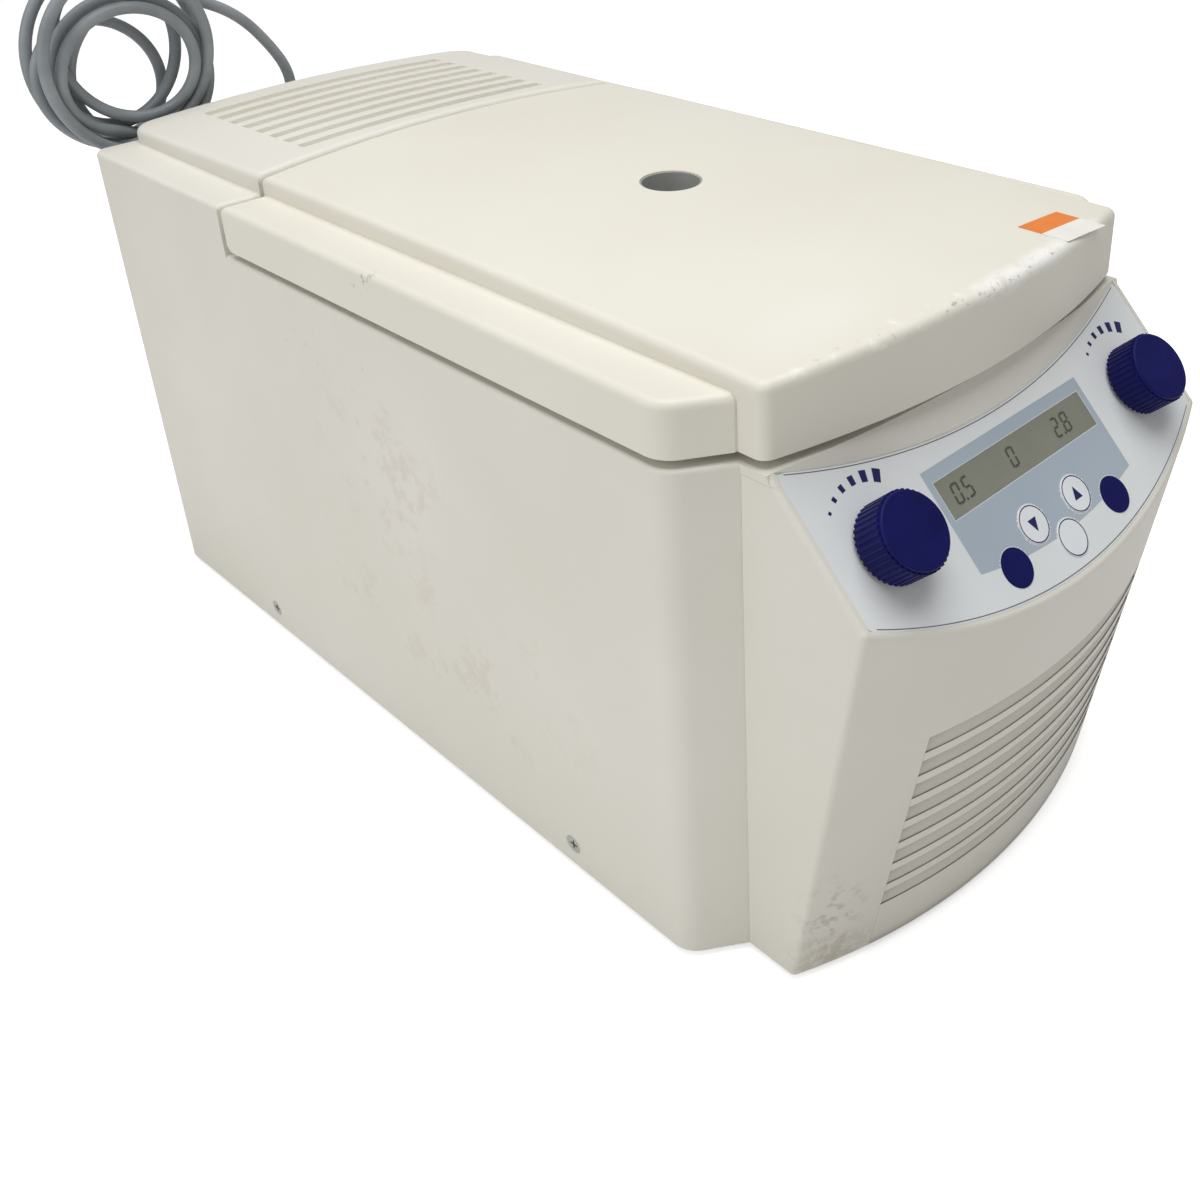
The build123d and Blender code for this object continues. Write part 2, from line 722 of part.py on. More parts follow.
# Stainless rotor chamber
with BuildPart() as chamber_bowl:
    with BuildSketch(Plane.XZ.offset(-AXIS_Y)):
        with BuildLine():
            Polyline(
                (BOWL_NECK_R, BOWL_FLOOR_Z - BOWL_T),
                (BOWL_R + BOWL_T, BOWL_FLOOR_Z - BOWL_T),
                (BOWL_R + BOWL_T, RIM_Z),
                (BOWL_FLANGE_R, RIM_Z),
                (BOWL_FLANGE_R, RIM_Z + BOWL_T),
                (BOWL_R, RIM_Z + BOWL_T),
                (BOWL_R, BOWL_FLOOR_Z),
                (BOWL_NECK_R, BOWL_FLOOR_Z),
                close=True,
            )
        make_face()
    revolve(axis=Axis((0, AXIS_Y, 0), (0, 0, 1)))
chamber_bowl.part.label = "chamber_bowl"
export_step(chamber_bowl.part, "parts/chamber_bowl.step")

with BuildPart() as chamber_gasket:
    with BuildSketch(Plane.XY.offset(RIM_Z + BOWL_T)):
        with Locations((0, AXIS_Y)):
            Circle(BOWL_FLANGE_R - 1)
            Circle(BOWL_FLANGE_R - 7, mode=Mode.SUBTRACT)
    extrude(amount=LID_BOTTOM_Z - RIM_Z - BOWL_T - GAP)
chamber_gasket.part.label = "chamber_gasket"
export_step(chamber_gasket.part, "parts/chamber_gasket.step")

# Foam jacket and the copper evaporator between it and the bowl
with BuildPart() as chamber_insulation:
    with BuildSketch(Plane.XZ.offset(-AXIS_Y)):
        inner = BOWL_R + BOWL_T + 2 * COIL_TUBE_R + 0.4
        with BuildLine():
            Polyline(
                (BOWL_NECK_R + 1, FOAM_LOW_Z),
                (FOAM_R, FOAM_LOW_Z),
                (FOAM_R, RIM_Z - WALL),
                (inner, RIM_Z - WALL),
                (inner, BOWL_FLOOR_Z - BOWL_T),
                (BOWL_NECK_R + 1, BOWL_FLOOR_Z - BOWL_T),
                close=True,
            )
        make_face()
    revolve(axis=Axis((0, AXIS_Y, 0), (0, 0, 1)))
chamber_insulation.part.label = "chamber_insulation"
export_step(chamber_insulation.part, "parts/chamber_insulation.step")

with BuildPart() as evaporator_coil:
    with BuildSketch(Plane.XZ.offset(-AXIS_Y)):
        for turn in range(COIL_TURNS):
            with Locations((BOWL_R + BOWL_T + COIL_TUBE_R + 0.1, COIL_LOW_Z + turn * COIL_PITCH)):
                Circle(COIL_TUBE_R)
                Circle(COIL_TUBE_R - 0.7, mode=Mode.SUBTRACT)
    revolve(axis=Axis((0, AXIS_Y, 0), (0, 0, 1)))
evaporator_coil.part.label = "evaporator_coil"
export_step(evaporator_coil.part, "parts/evaporator_coil.step")

# Motor on its rubber mounts
BASE_TOP_Z = FOOT_H + BASE_T
PLATE_Z = BASE_TOP_Z + MOUNT_H
with BuildPart() as motor:
    with BuildSketch(Plane.XY.offset(PLATE_Z)):
        with Locations((0, AXIS_Y)):
            Circle(MOTOR_PLATE_R)
    extrude(amount=MOTOR_PLATE_T)
    with BuildSketch(Plane.XY.offset(PLATE_Z)):
        with Locations((0, AXIS_Y)):
            Circle(MOTOR_R)
    extrude(amount=MOTOR_TOP_Z - PLATE_Z)
    fillet(motor.edges().group_by(Axis.Z)[-1], 4)
    with BuildSketch(Plane.XY.offset(MOTOR_TOP_Z)):
        with Locations((0, AXIS_Y)):
            Circle(MOTOR_NECK_R)
    extrude(amount=MOTOR_NECK_Z - MOTOR_TOP_Z)
    with Locations((0, AXIS_Y, MOTOR_NECK_Z)):
        Hole(SPINDLE_R + FIT, MOTOR_NECK_Z - PLATE_Z - 20)
    with BuildSketch(Plane.XY.offset(PLATE_Z + 20)):
        with Locations((0, AXIS_Y)):
            with PolarLocations(MOTOR_R, 24):
                Rectangle(4, 2.4)
    extrude(amount=MOTOR_TOP_Z - PLATE_Z - 32, mode=Mode.SUBTRACT)
motor.part.label = "motor"
export_step(motor.part, "parts/motor.step")

COMPRESSOR_FEET = [
    (COMPRESSOR_X + dx, COMPRESSOR_Y + dy)
    for dx in (-COMPRESSOR_R + MOUNT_R, COMPRESSOR_R - MOUNT_R)
    for dy in (-COMPRESSOR_R + MOUNT_R, COMPRESSOR_R - MOUNT_R)
]
with BuildPart() as rubber_mounts:
    with BuildSketch(Plane.XY.offset(BASE_TOP_Z)):
        with Locations((0, AXIS_Y)):
            with PolarLocations(MOTOR_MOUNT_R, 3, start_angle=30):
                Circle(MOUNT_R)
        with Locations(*COMPRESSOR_FEET):
            Circle(MOUNT_R)
    extrude(amount=MOUNT_H)
rubber_mounts.part.label = "rubber_mounts"
export_step(rubber_mounts.part, "parts/rubber_mounts.step")

# Spindle, rotor, its nut, lid and lid knob
SPINDLE_LOW_Z = PLATE_Z + 22
with BuildPart() as drive_spindle:
    with BuildSketch(Plane.XY.offset(SPINDLE_LOW_Z)):
        with Locations((0, AXIS_Y)):
            Circle(SPINDLE_R)
    extrude(amount=SPINDLE_TOP_Z - SPINDLE_LOW_Z)
    chamfer(drive_spindle.edges().group_by(Axis.Z)[-1], 1)
drive_spindle.part.label = "drive_spindle"
export_step(drive_spindle.part, "parts/drive_spindle.step")

RIM_IN = ROTOR_HUB_R + ROTOR_RIM_Z - ROTOR_HUB_Z
with BuildPart() as rotor:
    with BuildSketch(Plane.XZ.offset(-AXIS_Y)):
        with BuildLine():
            Polyline(
                (SPINDLE_R + FIT, ROTOR_LOW_Z),
                (ROTOR_R - 22, ROTOR_LOW_Z),
                (ROTOR_R, ROTOR_LOW_Z + 20),
                (ROTOR_R, ROTOR_RIM_Z - 22),
                (RIM_IN + 7, ROTOR_RIM_Z),
                (RIM_IN, ROTOR_RIM_Z),
                (ROTOR_HUB_R, ROTOR_HUB_Z),
                (NUT_R + 12, ROTOR_HUB_Z),
                (NUT_R + 10, ROTOR_HUB_Z - 6),
                (SPINDLE_R + FIT, ROTOR_HUB_Z - 6),
                close=True,
            )
        make_face()
    revolve(axis=Axis((0, AXIS_Y, 0), (0, 0, 1)))
    hole_r = (ROTOR_HUB_R + RIM_IN) / 2
    hole_z = (ROTOR_HUB_Z + ROTOR_RIM_Z) / 2
    for hole in range(TUBE_HOLES):
        angle = 2 * pi * hole / TUBE_HOLES
        outward = Vector(cos(angle), sin(angle), 0)
        bore_axis = (Vector(0, 0, 1) - outward).normalized()
        mouth = Vector(0, AXIS_Y, hole_z) + outward * hole_r
        with BuildSketch(Plane(origin=mouth + bore_axis * TUBE_R, z_dir=bore_axis)):
            Circle(TUBE_R)
        extrude(amount=-TUBE_DEPTH - TUBE_R, mode=Mode.SUBTRACT)
rotor.part.label = "rotor"
export_step(rotor.part, "parts/rotor.step")

with BuildPart() as rotor_nut:
    with BuildSketch(Plane.XY.offset(ROTOR_HUB_Z - 6)):
        with Locations((0, AXIS_Y)):
            RegularPolygon(NUT_R, 6)
            Circle(SPINDLE_R + FIT, mode=Mode.SUBTRACT)
    extrude(amount=NUT_H)
rotor_nut.part.label = "rotor_nut"
export_step(rotor_nut.part, "parts/rotor_nut.step")

with BuildPart() as rotor_lid:
    with BuildSketch(Plane.XZ.offset(-AXIS_Y)):
        with BuildLine():
            Polyline(
                (0, SPINDLE_TOP_Z + 4),
                (NUT_R + 4, SPINDLE_TOP_Z + 4),
                (RIM_IN - 8, ROTOR_RIM_Z),
                (ROTOR_LID_R, ROTOR_RIM_Z),
                (ROTOR_LID_R, ROTOR_RIM_Z + ROTOR_LID_T - 2),
                (ROTOR_LID_R - 3, ROTOR_RIM_Z + ROTOR_LID_T),
                (0, ROTOR_RIM_Z + ROTOR_LID_T),
                close=True,
            )
        make_face()
    revolve(axis=Axis((0, AXIS_Y, 0), (0, 0, 1)))
rotor_lid.part.label = "rotor_lid"
export_step(rotor_lid.part, "parts/rotor_lid.step")

with BuildPart() as rotor_lid_knob:
    with BuildSketch(Plane.XY.offset(ROTOR_RIM_Z + ROTOR_LID_T)):
        with Locations((0, AXIS_Y)):
            Circle(ROTOR_KNOB_R)
            with PolarLocations(ROTOR_KNOB_R + 1.5, 6):
                Circle(4, mode=Mode.SUBTRACT)
    extrude(amount=ROTOR_KNOB_H)
    fillet(rotor_lid_knob.edges().group_by(Axis.Z)[-1], 1.2)
rotor_lid_knob.part.label = "rotor_lid_knob"
export_step(rotor_lid_knob.part, "parts/rotor_lid_knob.step")

# Control panel: label, display, keys, knobs and the board under them
with BuildPart() as control_label:
    with BuildSketch(PANEL.offset(-LABEL_RECESS)) as outline:
        with BuildLine():
            label_outline(SEAT)
        make_face()
        corners = [v for v in outline.vertices() if abs(v.X) > LABEL_HALF - 1]
        fillet(corners, LABEL_CORNER_R)
        with Locations(*KEY_PLACES):
            Circle(KEY_R + FIT, mode=Mode.SUBTRACT)
        with Locations(*KNOB_PLACES):
            Circle(BUSH_R + SEAT, mode=Mode.SUBTRACT)
        with Locations((0, -LCD_S)):
            Rectangle(LCD_W + 2 * SEAT, LCD_H + 2 * SEAT, mode=Mode.SUBTRACT)
    extrude(amount=LABEL_T)
control_label.part.label = "control_label"
export_step(control_label.part, "parts/control_label.step")

with BuildPart() as display_window:
    with BuildSketch(PANEL.offset(LABEL_T - LABEL_RECESS - LCD_T)):
        with Locations((0, -LCD_S)):
            Rectangle(LCD_W, LCD_H)
    extrude(amount=LCD_T)
display_window.part.label = "display_window"
export_step(display_window.part, "parts/display_window.step")

LCD_BACK = BOARD_DEPTH
with BuildPart() as display_module:
    with BuildSketch(PANEL.offset(-LCD_BACK)):
        with Locations((0, -LCD_S)):
            Rectangle(LCD_W - 1, LCD_H - 1)
    extrude(amount=LCD_BACK - LCD_T - SEAT - LABEL_RECESS + LABEL_T)
    chamfer(display_module.edges().group_by(Axis.Z)[-1], 0.5)
display_module.part.label = "display_module"
export_step(display_module.part, "parts/display_module.step")

with BuildPart() as control_board:
    with BuildSketch(PANEL.offset(-BOARD_DEPTH - BOARD_T)):
        with Locations((0, -(BOARD_TOP_S + BOARD_BOTTOM_S) / 2)):
            Rectangle(2 * BOARD_HALF, BOARD_BOTTOM_S - BOARD_TOP_S)
        with Locations((-BOARD_HALF, -BOARD_BOTTOM_S), (BOARD_HALF, -BOARD_BOTTOM_S)):
            Rectangle(110, 44, mode=Mode.SUBTRACT)
    extrude(amount=BOARD_T)
control_board.part.label = "control_board"
export_step(control_board.part, "parts/control_board.step")

with BuildPart() as key_switches:
    with BuildSketch(PANEL.offset(-BOARD_DEPTH)):
        with Locations(*KEY_PLACES):
            Rectangle(KEY_SWITCH_W, KEY_SWITCH_W)
    extrude(amount=BOARD_DEPTH - STEM_DEPTH - KEY_TRAVEL - 0.2)
key_switches.part.label = "key_switches"
export_step(key_switches.part, "parts/key_switches.step")

for name, (key_x, key_s) in KEYS.items():
    with BuildPart() as key:
        with BuildSketch(PANEL.offset(KEY_PROUD)):
            with Locations((key_x, -key_s)):
                Circle(KEY_R)
        extrude(amount=-KEY_DEPTH - KEY_PROUD)
        rim = [e for e in key.edges() if PANEL.to_local_coords(e.center()).Z > 0]
        fillet(rim, 0.25)
        with BuildSketch(PANEL.offset(-KEY_DEPTH)):
            with Locations((key_x, -key_s)):
                Circle(KEY_STEM_R)
        extrude(amount=-(STEM_DEPTH - KEY_DEPTH))
    key.part.label = name
    export_step(key.part, f"parts/{name}.step")

with BuildPart() as encoders:
    with BuildSketch(PANEL.offset(-BOARD_DEPTH)):
        with Locations(*KNOB_PLACES):
            Rectangle(ENCODER_W, ENCODER_W)
    extrude(amount=BOARD_DEPTH - WALL - SEAT)
    with BuildSketch(PANEL.offset(-BOARD_DEPTH)):
        with Locations(*KNOB_PLACES):
            Circle(BUSH_R)
    extrude(amount=BOARD_DEPTH - 0.4)
    with BuildSketch(PANEL.offset(-BOARD_DEPTH + 1)):
        with Locations(*KNOB_PLACES):
            Circle(SHAFT_R + FIT)
    extrude(amount=BOARD_DEPTH + 2, mode=Mode.SUBTRACT)
encoders.part.label = "encoders"
export_step(encoders.part, "parts/encoders.step")

for name, knob_x in (("left", -KNOB_X), ("right", KNOB_X)):
    with BuildPart() as knob_shaft:
        with BuildSketch(PANEL.offset(-BOARD_DEPTH + 1 + KNOB_TRAVEL + 0.3)):
            with Locations((knob_x, -KNOB_S)):
                Circle(SHAFT_R)
        extrude(amount=BOARD_DEPTH + KNOB_TOP - 2 * KNOB_WALL)
    knob_shaft.part.label = f"knob_shaft_{name}"
    export_step(knob_shaft.part, f"parts/knob_shaft_{name}.step")
    with BuildPart() as knob:
        with BuildSketch(PANEL.offset(KNOB_BASE)):
            with Locations((knob_x, -KNOB_S)):
                Circle(KNOB_R)
                with PolarLocations(KNOB_R + RIB_GROOVE_OUT, KNOB_RIBS):
                    Circle(RIB_GROOVE_R, mode=Mode.SUBTRACT)
        extrude(amount=KNOB_TOP - KNOB_BASE - KNOB_CAP)
        with BuildSketch(PANEL.offset(KNOB_TOP - KNOB_CAP)):
            with Locations((knob_x, -KNOB_S)):
                Circle(KNOB_R - KNOB_CAP_IN)
        extrude(amount=KNOB_CAP)
        top_edge = [
            e for e in knob.edges().filter_by(GeomType.CIRCLE)
            if PANEL.to_local_coords(e.center()).Z > KNOB_TOP - 0.1
        ]
        fillet(top_edge, KNOB_CAP_IN)
        with BuildSketch(PANEL.offset(KNOB_BASE)):
            with Locations((knob_x, -KNOB_S)):
                Circle(KNOB_R - KNOB_WALL)
                Circle(SHAFT_R + KNOB_WALL, mode=Mode.SUBTRACT)
        extrude(amount=KNOB_SKIRT, mode=Mode.SUBTRACT)
        with BuildSketch(PANEL.offset(KNOB_BASE)):
            with Locations((knob_x, -KNOB_S)):
                Circle(SHAFT_R + FIT)
        extrude(amount=KNOB_TOP - KNOB_BASE - KNOB_WALL, mode=Mode.SUBTRACT)
    knob.part.label = f"knob_{name}"
    export_step(knob.part, f"parts/knob_{name}.step")


# Lid: a low flange all round and a raised middle that shares the crown
def lid_form(inset, low):
    """the outside of the lid, or the space inside it"""
    with BuildPart() as flange:
        with BuildSketch(Plane.XY.offset(low)) as outline:
            with BuildLine():
                Polyline(
                    *mirrored([(-HALF, LID_REAR_Y), (-HALF, LID_CORNER_Y), (-FASCIA_HALF, LID_STEP_Y)]),
                    close=True,
                )
            make_face()
            if inset == 0:
                fillet(at_y(outline, LID_CORNER_Y), FRONT_CORNER_R)
            else:
                offset(amount=-inset, kind=Kind.INTERSECTION)
        extrude(amount=FLANGE_TOP_Z - inset - low)
        if inset == 0:
            fillet(flange.edges().group_by(Axis.Z)[-1], FLANGE_ROUND)
    with BuildPart() as raised:
        side = RAISED_HALF - inset
        rear = LID_REAR_Y - inset
        front = LID_FRONT_Y + inset
        with BuildSketch(Plane.XY.offset(low)) as outline:
            with BuildLine():
                seam_arc(rear, side)
                Line((side, rear), (side, front))
                ThreePointArc((side, front), (0, front - LID_FRONT_BULGE), (-side, front))
                Line((-side, front), (-side, rear))
            make_face()
            if inset == 0:
                fillet(at_y(outline, LID_FRONT_Y), RAISED_CORNER_R)
        extrude(amount=CROWN_Z + 10 - low)
        add(crown(inset), mode=Mode.INTERSECT)
        if inset == 0:
            fillet(raised.faces().sort_by(Axis.Z)[-1].edges(), RAISED_ROUND)
    return flange.part + raised.part


def hinge_slots(wide, front, height):
    """room for the two hinge arms to swing back, out through the rear of the lid"""
    with BuildPart() as slots:
        with BuildSketch(Plane.XY.offset(LID_BOTTOM_Z - 1)):
            for side in (-1, 1):
                with Locations((side * HINGE_X, front)):
                    Rectangle(wide, 40, align=(Align.CENTER, Align.MIN))
        extrude(amount=height)
    return slots.part


SLOT_W = HINGE_ARM_W + 2 * EAR_GAP
SLOT_FRONT_Y = PIVOT_Y - HINGE_ARM_T / 2 - 1.5
with BuildPart() as lid_shell:
    add(lid_form(0, LID_BOTTOM_Z))
    low_edges = lid_shell.edges().group_by(Axis.Z)[0]
    chamfer([e for e in low_edges if e.center().Y > LID_REAR_Y - 1], LID_REAR_CHAMFER)
    add(lid_form(LID_WALL, LID_BOTTOM_Z - 1), mode=Mode.SUBTRACT)
    with Locations((0, AXIS_Y, CROWN_Z)):
        Hole(SIGHT_R + SIGHT_TUBE_T + SEAT, CROWN_Z - LID_BOTTOM_Z)
    add(hinge_slots(SLOT_W, PIVOT_Y + 2, LID_NOTCH_TOP_Z - LID_BOTTOM_Z + 1), mode=Mode.SUBTRACT)
lid_shell.part.label = "lid_shell"
export_step(lid_shell.part, "parts/lid_shell.step")

LINER_Z = LID_BOTTOM_Z + SEAT
with BuildPart() as lid_liner:
    add(lid_form(LID_WALL + SEAT, LINER_Z))
    with BuildSketch(Plane.XY.offset(LINER_Z)):
        Rectangle(4 * HALF, 8 * HALF)
    extrude(amount=LINER_T, mode=Mode.INTERSECT)
    with Locations((0, AXIS_Y, LINER_Z + LINER_T)):
        Hole(SIGHT_R + SIGHT_TUBE_T + SEAT, LINER_T)
    with BuildSketch(Plane.XY.offset(LINER_Z)):
        with Locations((0, HOOK_Y)):
            Rectangle(HOOK_T + 1, HOOK_L + 1)
    extrude(amount=LINER_T, mode=Mode.SUBTRACT)
    add(hinge_slots(SLOT_W, SLOT_FRONT_Y, CROWN_Z - LID_BOTTOM_Z), mode=Mode.SUBTRACT)
lid_liner.part.label = "lid_liner"
export_step(lid_liner.part, "parts/lid_liner.step")

# Steel plate that stiffens the lid and carries its hinge ears and hook
LID_PLATE_Z = LINER_Z + LINER_T
with BuildPart() as lid_plate:
    with BuildSketch(Plane.XY.offset(LID_PLATE_Z)) as outline:
        with Locations((0, (LID_PLATE_FRONT_Y + LID_PLATE_REAR_Y) / 2)):
            Rectangle(2 * LID_PLATE_HALF, LID_PLATE_REAR_Y - LID_PLATE_FRONT_Y)
        fillet(outline.vertices(), FRONT_CORNER_R)
    extrude(amount=LID_PLATE_T)
    with Locations((0, AXIS_Y, LID_PLATE_Z + LID_PLATE_T)):
        Hole(SIGHT_R + SIGHT_TUBE_T + SEAT, LID_PLATE_T)
    add(hinge_slots(SLOT_W, SLOT_FRONT_Y, CROWN_Z - LID_BOTTOM_Z), mode=Mode.SUBTRACT)
lid_plate.part.label = "lid_plate"
export_step(lid_plate.part, "parts/lid_plate.step")

EAR_LOW_Z = LID_PLATE_Z + LID_PLATE_T
with BuildPart() as lid_hinge_ears:
    for side in (-1, 1):
        for gap_side in (-1, 1):
            near = side * HINGE_X + gap_side * SLOT_W / 2
            with BuildSketch(Plane.YZ.offset(near)):
                with Locations((PIVOT_Y, (EAR_LOW_Z + PIVOT_Z) / 2)):
                    Rectangle(2 * HINGE_KNUCKLE_R, PIVOT_Z - EAR_LOW_Z)
                with Locations((PIVOT_Y, PIVOT_Z)):
                    Circle(HINGE_KNUCKLE_R)
                    Circle(HINGE_PIN_R + PRESS, mode=Mode.SUBTRACT)
            extrude(amount=gap_side * EAR_W)
lid_hinge_ears.part.label = "lid_hinge_ears"
export_step(lid_hinge_ears.part, "parts/lid_hinge_ears.step")

with BuildPart() as hinge_pins:
    for side in (-1, 1):
        with BuildSketch(Plane.YZ.offset(side * HINGE_X)):
            with Locations((PIVOT_Y, PIVOT_Z)):
                Circle(HINGE_PIN_R)
        extrude(amount=SLOT_W / 2 + EAR_W + 1, both=True)
hinge_pins.part.label = "hinge_pins"
export_step(hinge_pins.part, "parts/hinge_pins.step")

# Two arms that stand up from the deck and carry the lid
ARM_LOW_Z = RIM_Z - WALL
with BuildPart() as hinge_arms:
    for side in (-1, 1):
        with BuildSketch(Plane.YZ.offset(side * HINGE_X)):
            with Locations((PIVOT_Y, (ARM_LOW_Z + PIVOT_Z) / 2)):
                Rectangle(HINGE_ARM_T, PIVOT_Z - ARM_LOW_Z)
            with Locations((PIVOT_Y, PIVOT_Z)):
                Circle(HINGE_KNUCKLE_R)
                Circle(HINGE_PIN_R + FIT, mode=Mode.SUBTRACT)
        extrude(amount=HINGE_ARM_W / 2, both=True)
        with BuildSketch(Plane.XY.offset(ARM_LOW_Z)):
            with Locations((side * HINGE_X, PIVOT_Y)):
                Rectangle(HINGE_FOOT_W, HINGE_FOOT_L)
        extrude(amount=-HINGE_FOOT_T)
hinge_arms.part.label = "hinge_arms"
export_step(hinge_arms.part, "parts/hinge_arms.step")

# Sight tube through the lid with its glass
with BuildPart() as viewport_tube:
    tube_out = SIGHT_R + SIGHT_TUBE_T
    with BuildSketch(Plane.XZ.offset(-AXIS_Y)):
        with BuildLine():
            Polyline(
                (SIGHT_R, LINER_Z - SIGHT_FLANGE_T),
                (tube_out + SIGHT_FLANGE_W, LINER_Z - SIGHT_FLANGE_T),
                (tube_out + SIGHT_FLANGE_W, LINER_Z),
                (tube_out, LINER_Z),
                (tube_out, CROWN_Z - SIGHT_DROP),
                (SIGHT_R, CROWN_Z - SIGHT_DROP),
                (SIGHT_R, SIGHT_GLASS_Z),
                (SIGHT_R - SIGHT_LEDGE, SIGHT_GLASS_Z),
                (SIGHT_R - SIGHT_LEDGE, SIGHT_GLASS_Z - SIGHT_LEDGE),
                (SIGHT_R, SIGHT_GLASS_Z - SIGHT_LEDGE),
                close=True,
            )
        make_face()
    revolve(axis=Axis((0, AXIS_Y, 0), (0, 0, 1)))
viewport_tube.part.label = "viewport_tube"
export_step(viewport_tube.part, "parts/viewport_tube.step")

with BuildPart() as viewport_window:
    with BuildSketch(Plane.XY.offset(SIGHT_GLASS_Z)):
        with Locations((0, AXIS_Y)):
            Circle(SIGHT_R - SEAT)
    extrude(amount=SIGHT_GLASS_T)
viewport_window.part.label = "viewport_window"
export_step(viewport_window.part, "parts/viewport_window.step")

# Latch: a hook on the lid and a bolt that a solenoid drives through its eye
BOLT_EYE = BOLT_W + 2 * EYE_ROOM
BOLT_BORE = BOLT_W + 2 * GAP
BOLT_TIP_X = HOOK_T / 2 + BOLT_TIP_GAP
BOLT_END_X = BOLT_TIP_X - BOLT_TRAVEL - 1
LATCH_LEFT_X = BOLT_END_X - WALL
with BuildPart() as lid_hook:
    with BuildSketch(Plane.YZ) as outline:
        with Locations((HOOK_Y, HOOK_LOW_Z)):
            Rectangle(HOOK_L, LID_PLATE_Z - HOOK_LOW_Z, align=(Align.CENTER, Align.MIN))
        fillet(outline.vertices().group_by(Axis.Z)[0], 2)
        with Locations((HOOK_Y, BOLT_Z)):
            Rectangle(BOLT_EYE, BOLT_EYE, mode=Mode.SUBTRACT)
    extrude(amount=HOOK_T / 2, both=True)
lid_hook.part.label = "lid_hook"
export_step(lid_hook.part, "parts/lid_hook.step")

LATCH_TOP_Z = RIM_Z - WALL
with BuildPart() as latch_body:
    with BuildSketch(Plane.XY.offset(LATCH_LOW_Z)):
        with Locations((LATCH_LEFT_X, HOOK_Y)):
            Rectangle(LATCH_RIGHT_X - LATCH_LEFT_X, LATCH_W, align=(Align.MIN, Align.CENTER))
    extrude(amount=LATCH_TOP_Z - LATCH_LOW_Z)
    with BuildSketch(Plane.XY.offset(LATCH_TOP_Z)):
        with Locations((0, HOOK_Y)):
            Rectangle(LATCH_SLOT_W, LATCH_W - 4)
    extrude(amount=-(LATCH_TOP_Z - HOOK_LOW_Z) - 2, mode=Mode.SUBTRACT)
    with BuildSketch(Plane.YZ.offset(LATCH_RIGHT_X)):
        with Locations((HOOK_Y, BOLT_Z)):
            Rectangle(BOLT_BORE, BOLT_BORE)
    extrude(amount=BOLT_END_X - LATCH_RIGHT_X, mode=Mode.SUBTRACT)
latch_body.part.label = "latch_body"
export_step(latch_body.part, "parts/latch_body.step")

with BuildPart() as latch_solenoid:
    with BuildSketch(Plane.YZ.offset(LATCH_RIGHT_X)):
        with Locations((HOOK_Y, BOLT_Z)):
            Rectangle(SOLENOID_W, SOLENOID_W)
    extrude(amount=SOLENOID_L)
    with BuildSketch(Plane.YZ.offset(LATCH_RIGHT_X)):
        with Locations((HOOK_Y, BOLT_Z)):
            Rectangle(BOLT_BORE, BOLT_BORE)
    extrude(amount=SOLENOID_L - 4, mode=Mode.SUBTRACT)
latch_solenoid.part.label = "latch_solenoid"
export_step(latch_solenoid.part, "parts/latch_solenoid.step")

with BuildPart() as latch_bolt:
    with BuildSketch(Plane.YZ.offset(BOLT_TIP_X)):
        with Locations((HOOK_Y, BOLT_Z)):
            Rectangle(BOLT_W, BOLT_W)
    extrude(amount=LATCH_RIGHT_X + SOLENOID_L - 6 - BOLT_TIP_X)
latch_bolt.part.label = "latch_bolt"
export_step(latch_bolt.part, "parts/latch_bolt.step")

# Refrigeration: compressor, condenser, fan and two pipes
with BuildPart() as compressor:
    with BuildSketch(Plane.XY.offset(PLATE_Z)) as outline:
        with Locations((COMPRESSOR_X, COMPRESSOR_Y)):
            Rectangle(2 * COMPRESSOR_R, 2 * COMPRESSOR_R)
        fillet(outline.vertices(), MOUNT_R)
    extrude(amount=MOTOR_PLATE_T)
    with BuildSketch(Plane.XZ.offset(-COMPRESSOR_Y)):
        low = PLATE_Z + MOTOR_PLATE_T
        r = COMPRESSOR_R - 2
        with BuildLine():
            Line((COMPRESSOR_X, low), (COMPRESSOR_X + r, low))
            Line((COMPRESSOR_X + r, low), (COMPRESSOR_X + r, COMPRESSOR_TOP_Z - COMPRESSOR_DOME))
            RadiusArc(
                (COMPRESSOR_X + r, COMPRESSOR_TOP_Z - COMPRESSOR_DOME),
                (COMPRESSOR_X + r - COMPRESSOR_DOME, COMPRESSOR_TOP_Z),
                -COMPRESSOR_DOME,
            )
            Line((COMPRESSOR_X + r - COMPRESSOR_DOME, COMPRESSOR_TOP_Z), (COMPRESSOR_X, COMPRESSOR_TOP_Z))
            Line((COMPRESSOR_X, COMPRESSOR_TOP_Z), (COMPRESSOR_X, low))
        make_face()
    revolve(axis=Axis((COMPRESSOR_X, COMPRESSOR_Y, 0), (0, 0, 1)))
compressor.part.label = "compressor"
export_step(compressor.part, "parts/compressor.step")

FAN_FRONT_Y = REAR_Y - WALL - FAN_FRAME_T
CONDENSER_Y = FAN_FRONT_Y - CONDENSER_GAP - CONDENSER_T / 2
with BuildPart() as condenser:
    with BuildSketch(Plane.XY.offset(BASE_TOP_Z)):
        with Locations((0, CONDENSER_Y)):
            with GridLocations(2 * CONDENSER_HALF / (CONDENSER_FINS - 1), 0, CONDENSER_FINS, 1):
                Rectangle(CONDENSER_FIN_T, CONDENSER_T)
    extrude(amount=CONDENSER_H)
    with BuildSketch(Plane.YZ.offset(-CONDENSER_HALF)):
        with Locations((CONDENSER_Y, BASE_TOP_Z + CONDENSER_H / 2)):
            with GridLocations(CONDENSER_T / 2, CONDENSER_H / 6, 2, 6):
                Circle(COIL_TUBE_R + 1)
    extrude(amount=2 * CONDENSER_HALF)
condenser.part.label = "condenser"
export_step(condenser.part, "parts/condenser.step")

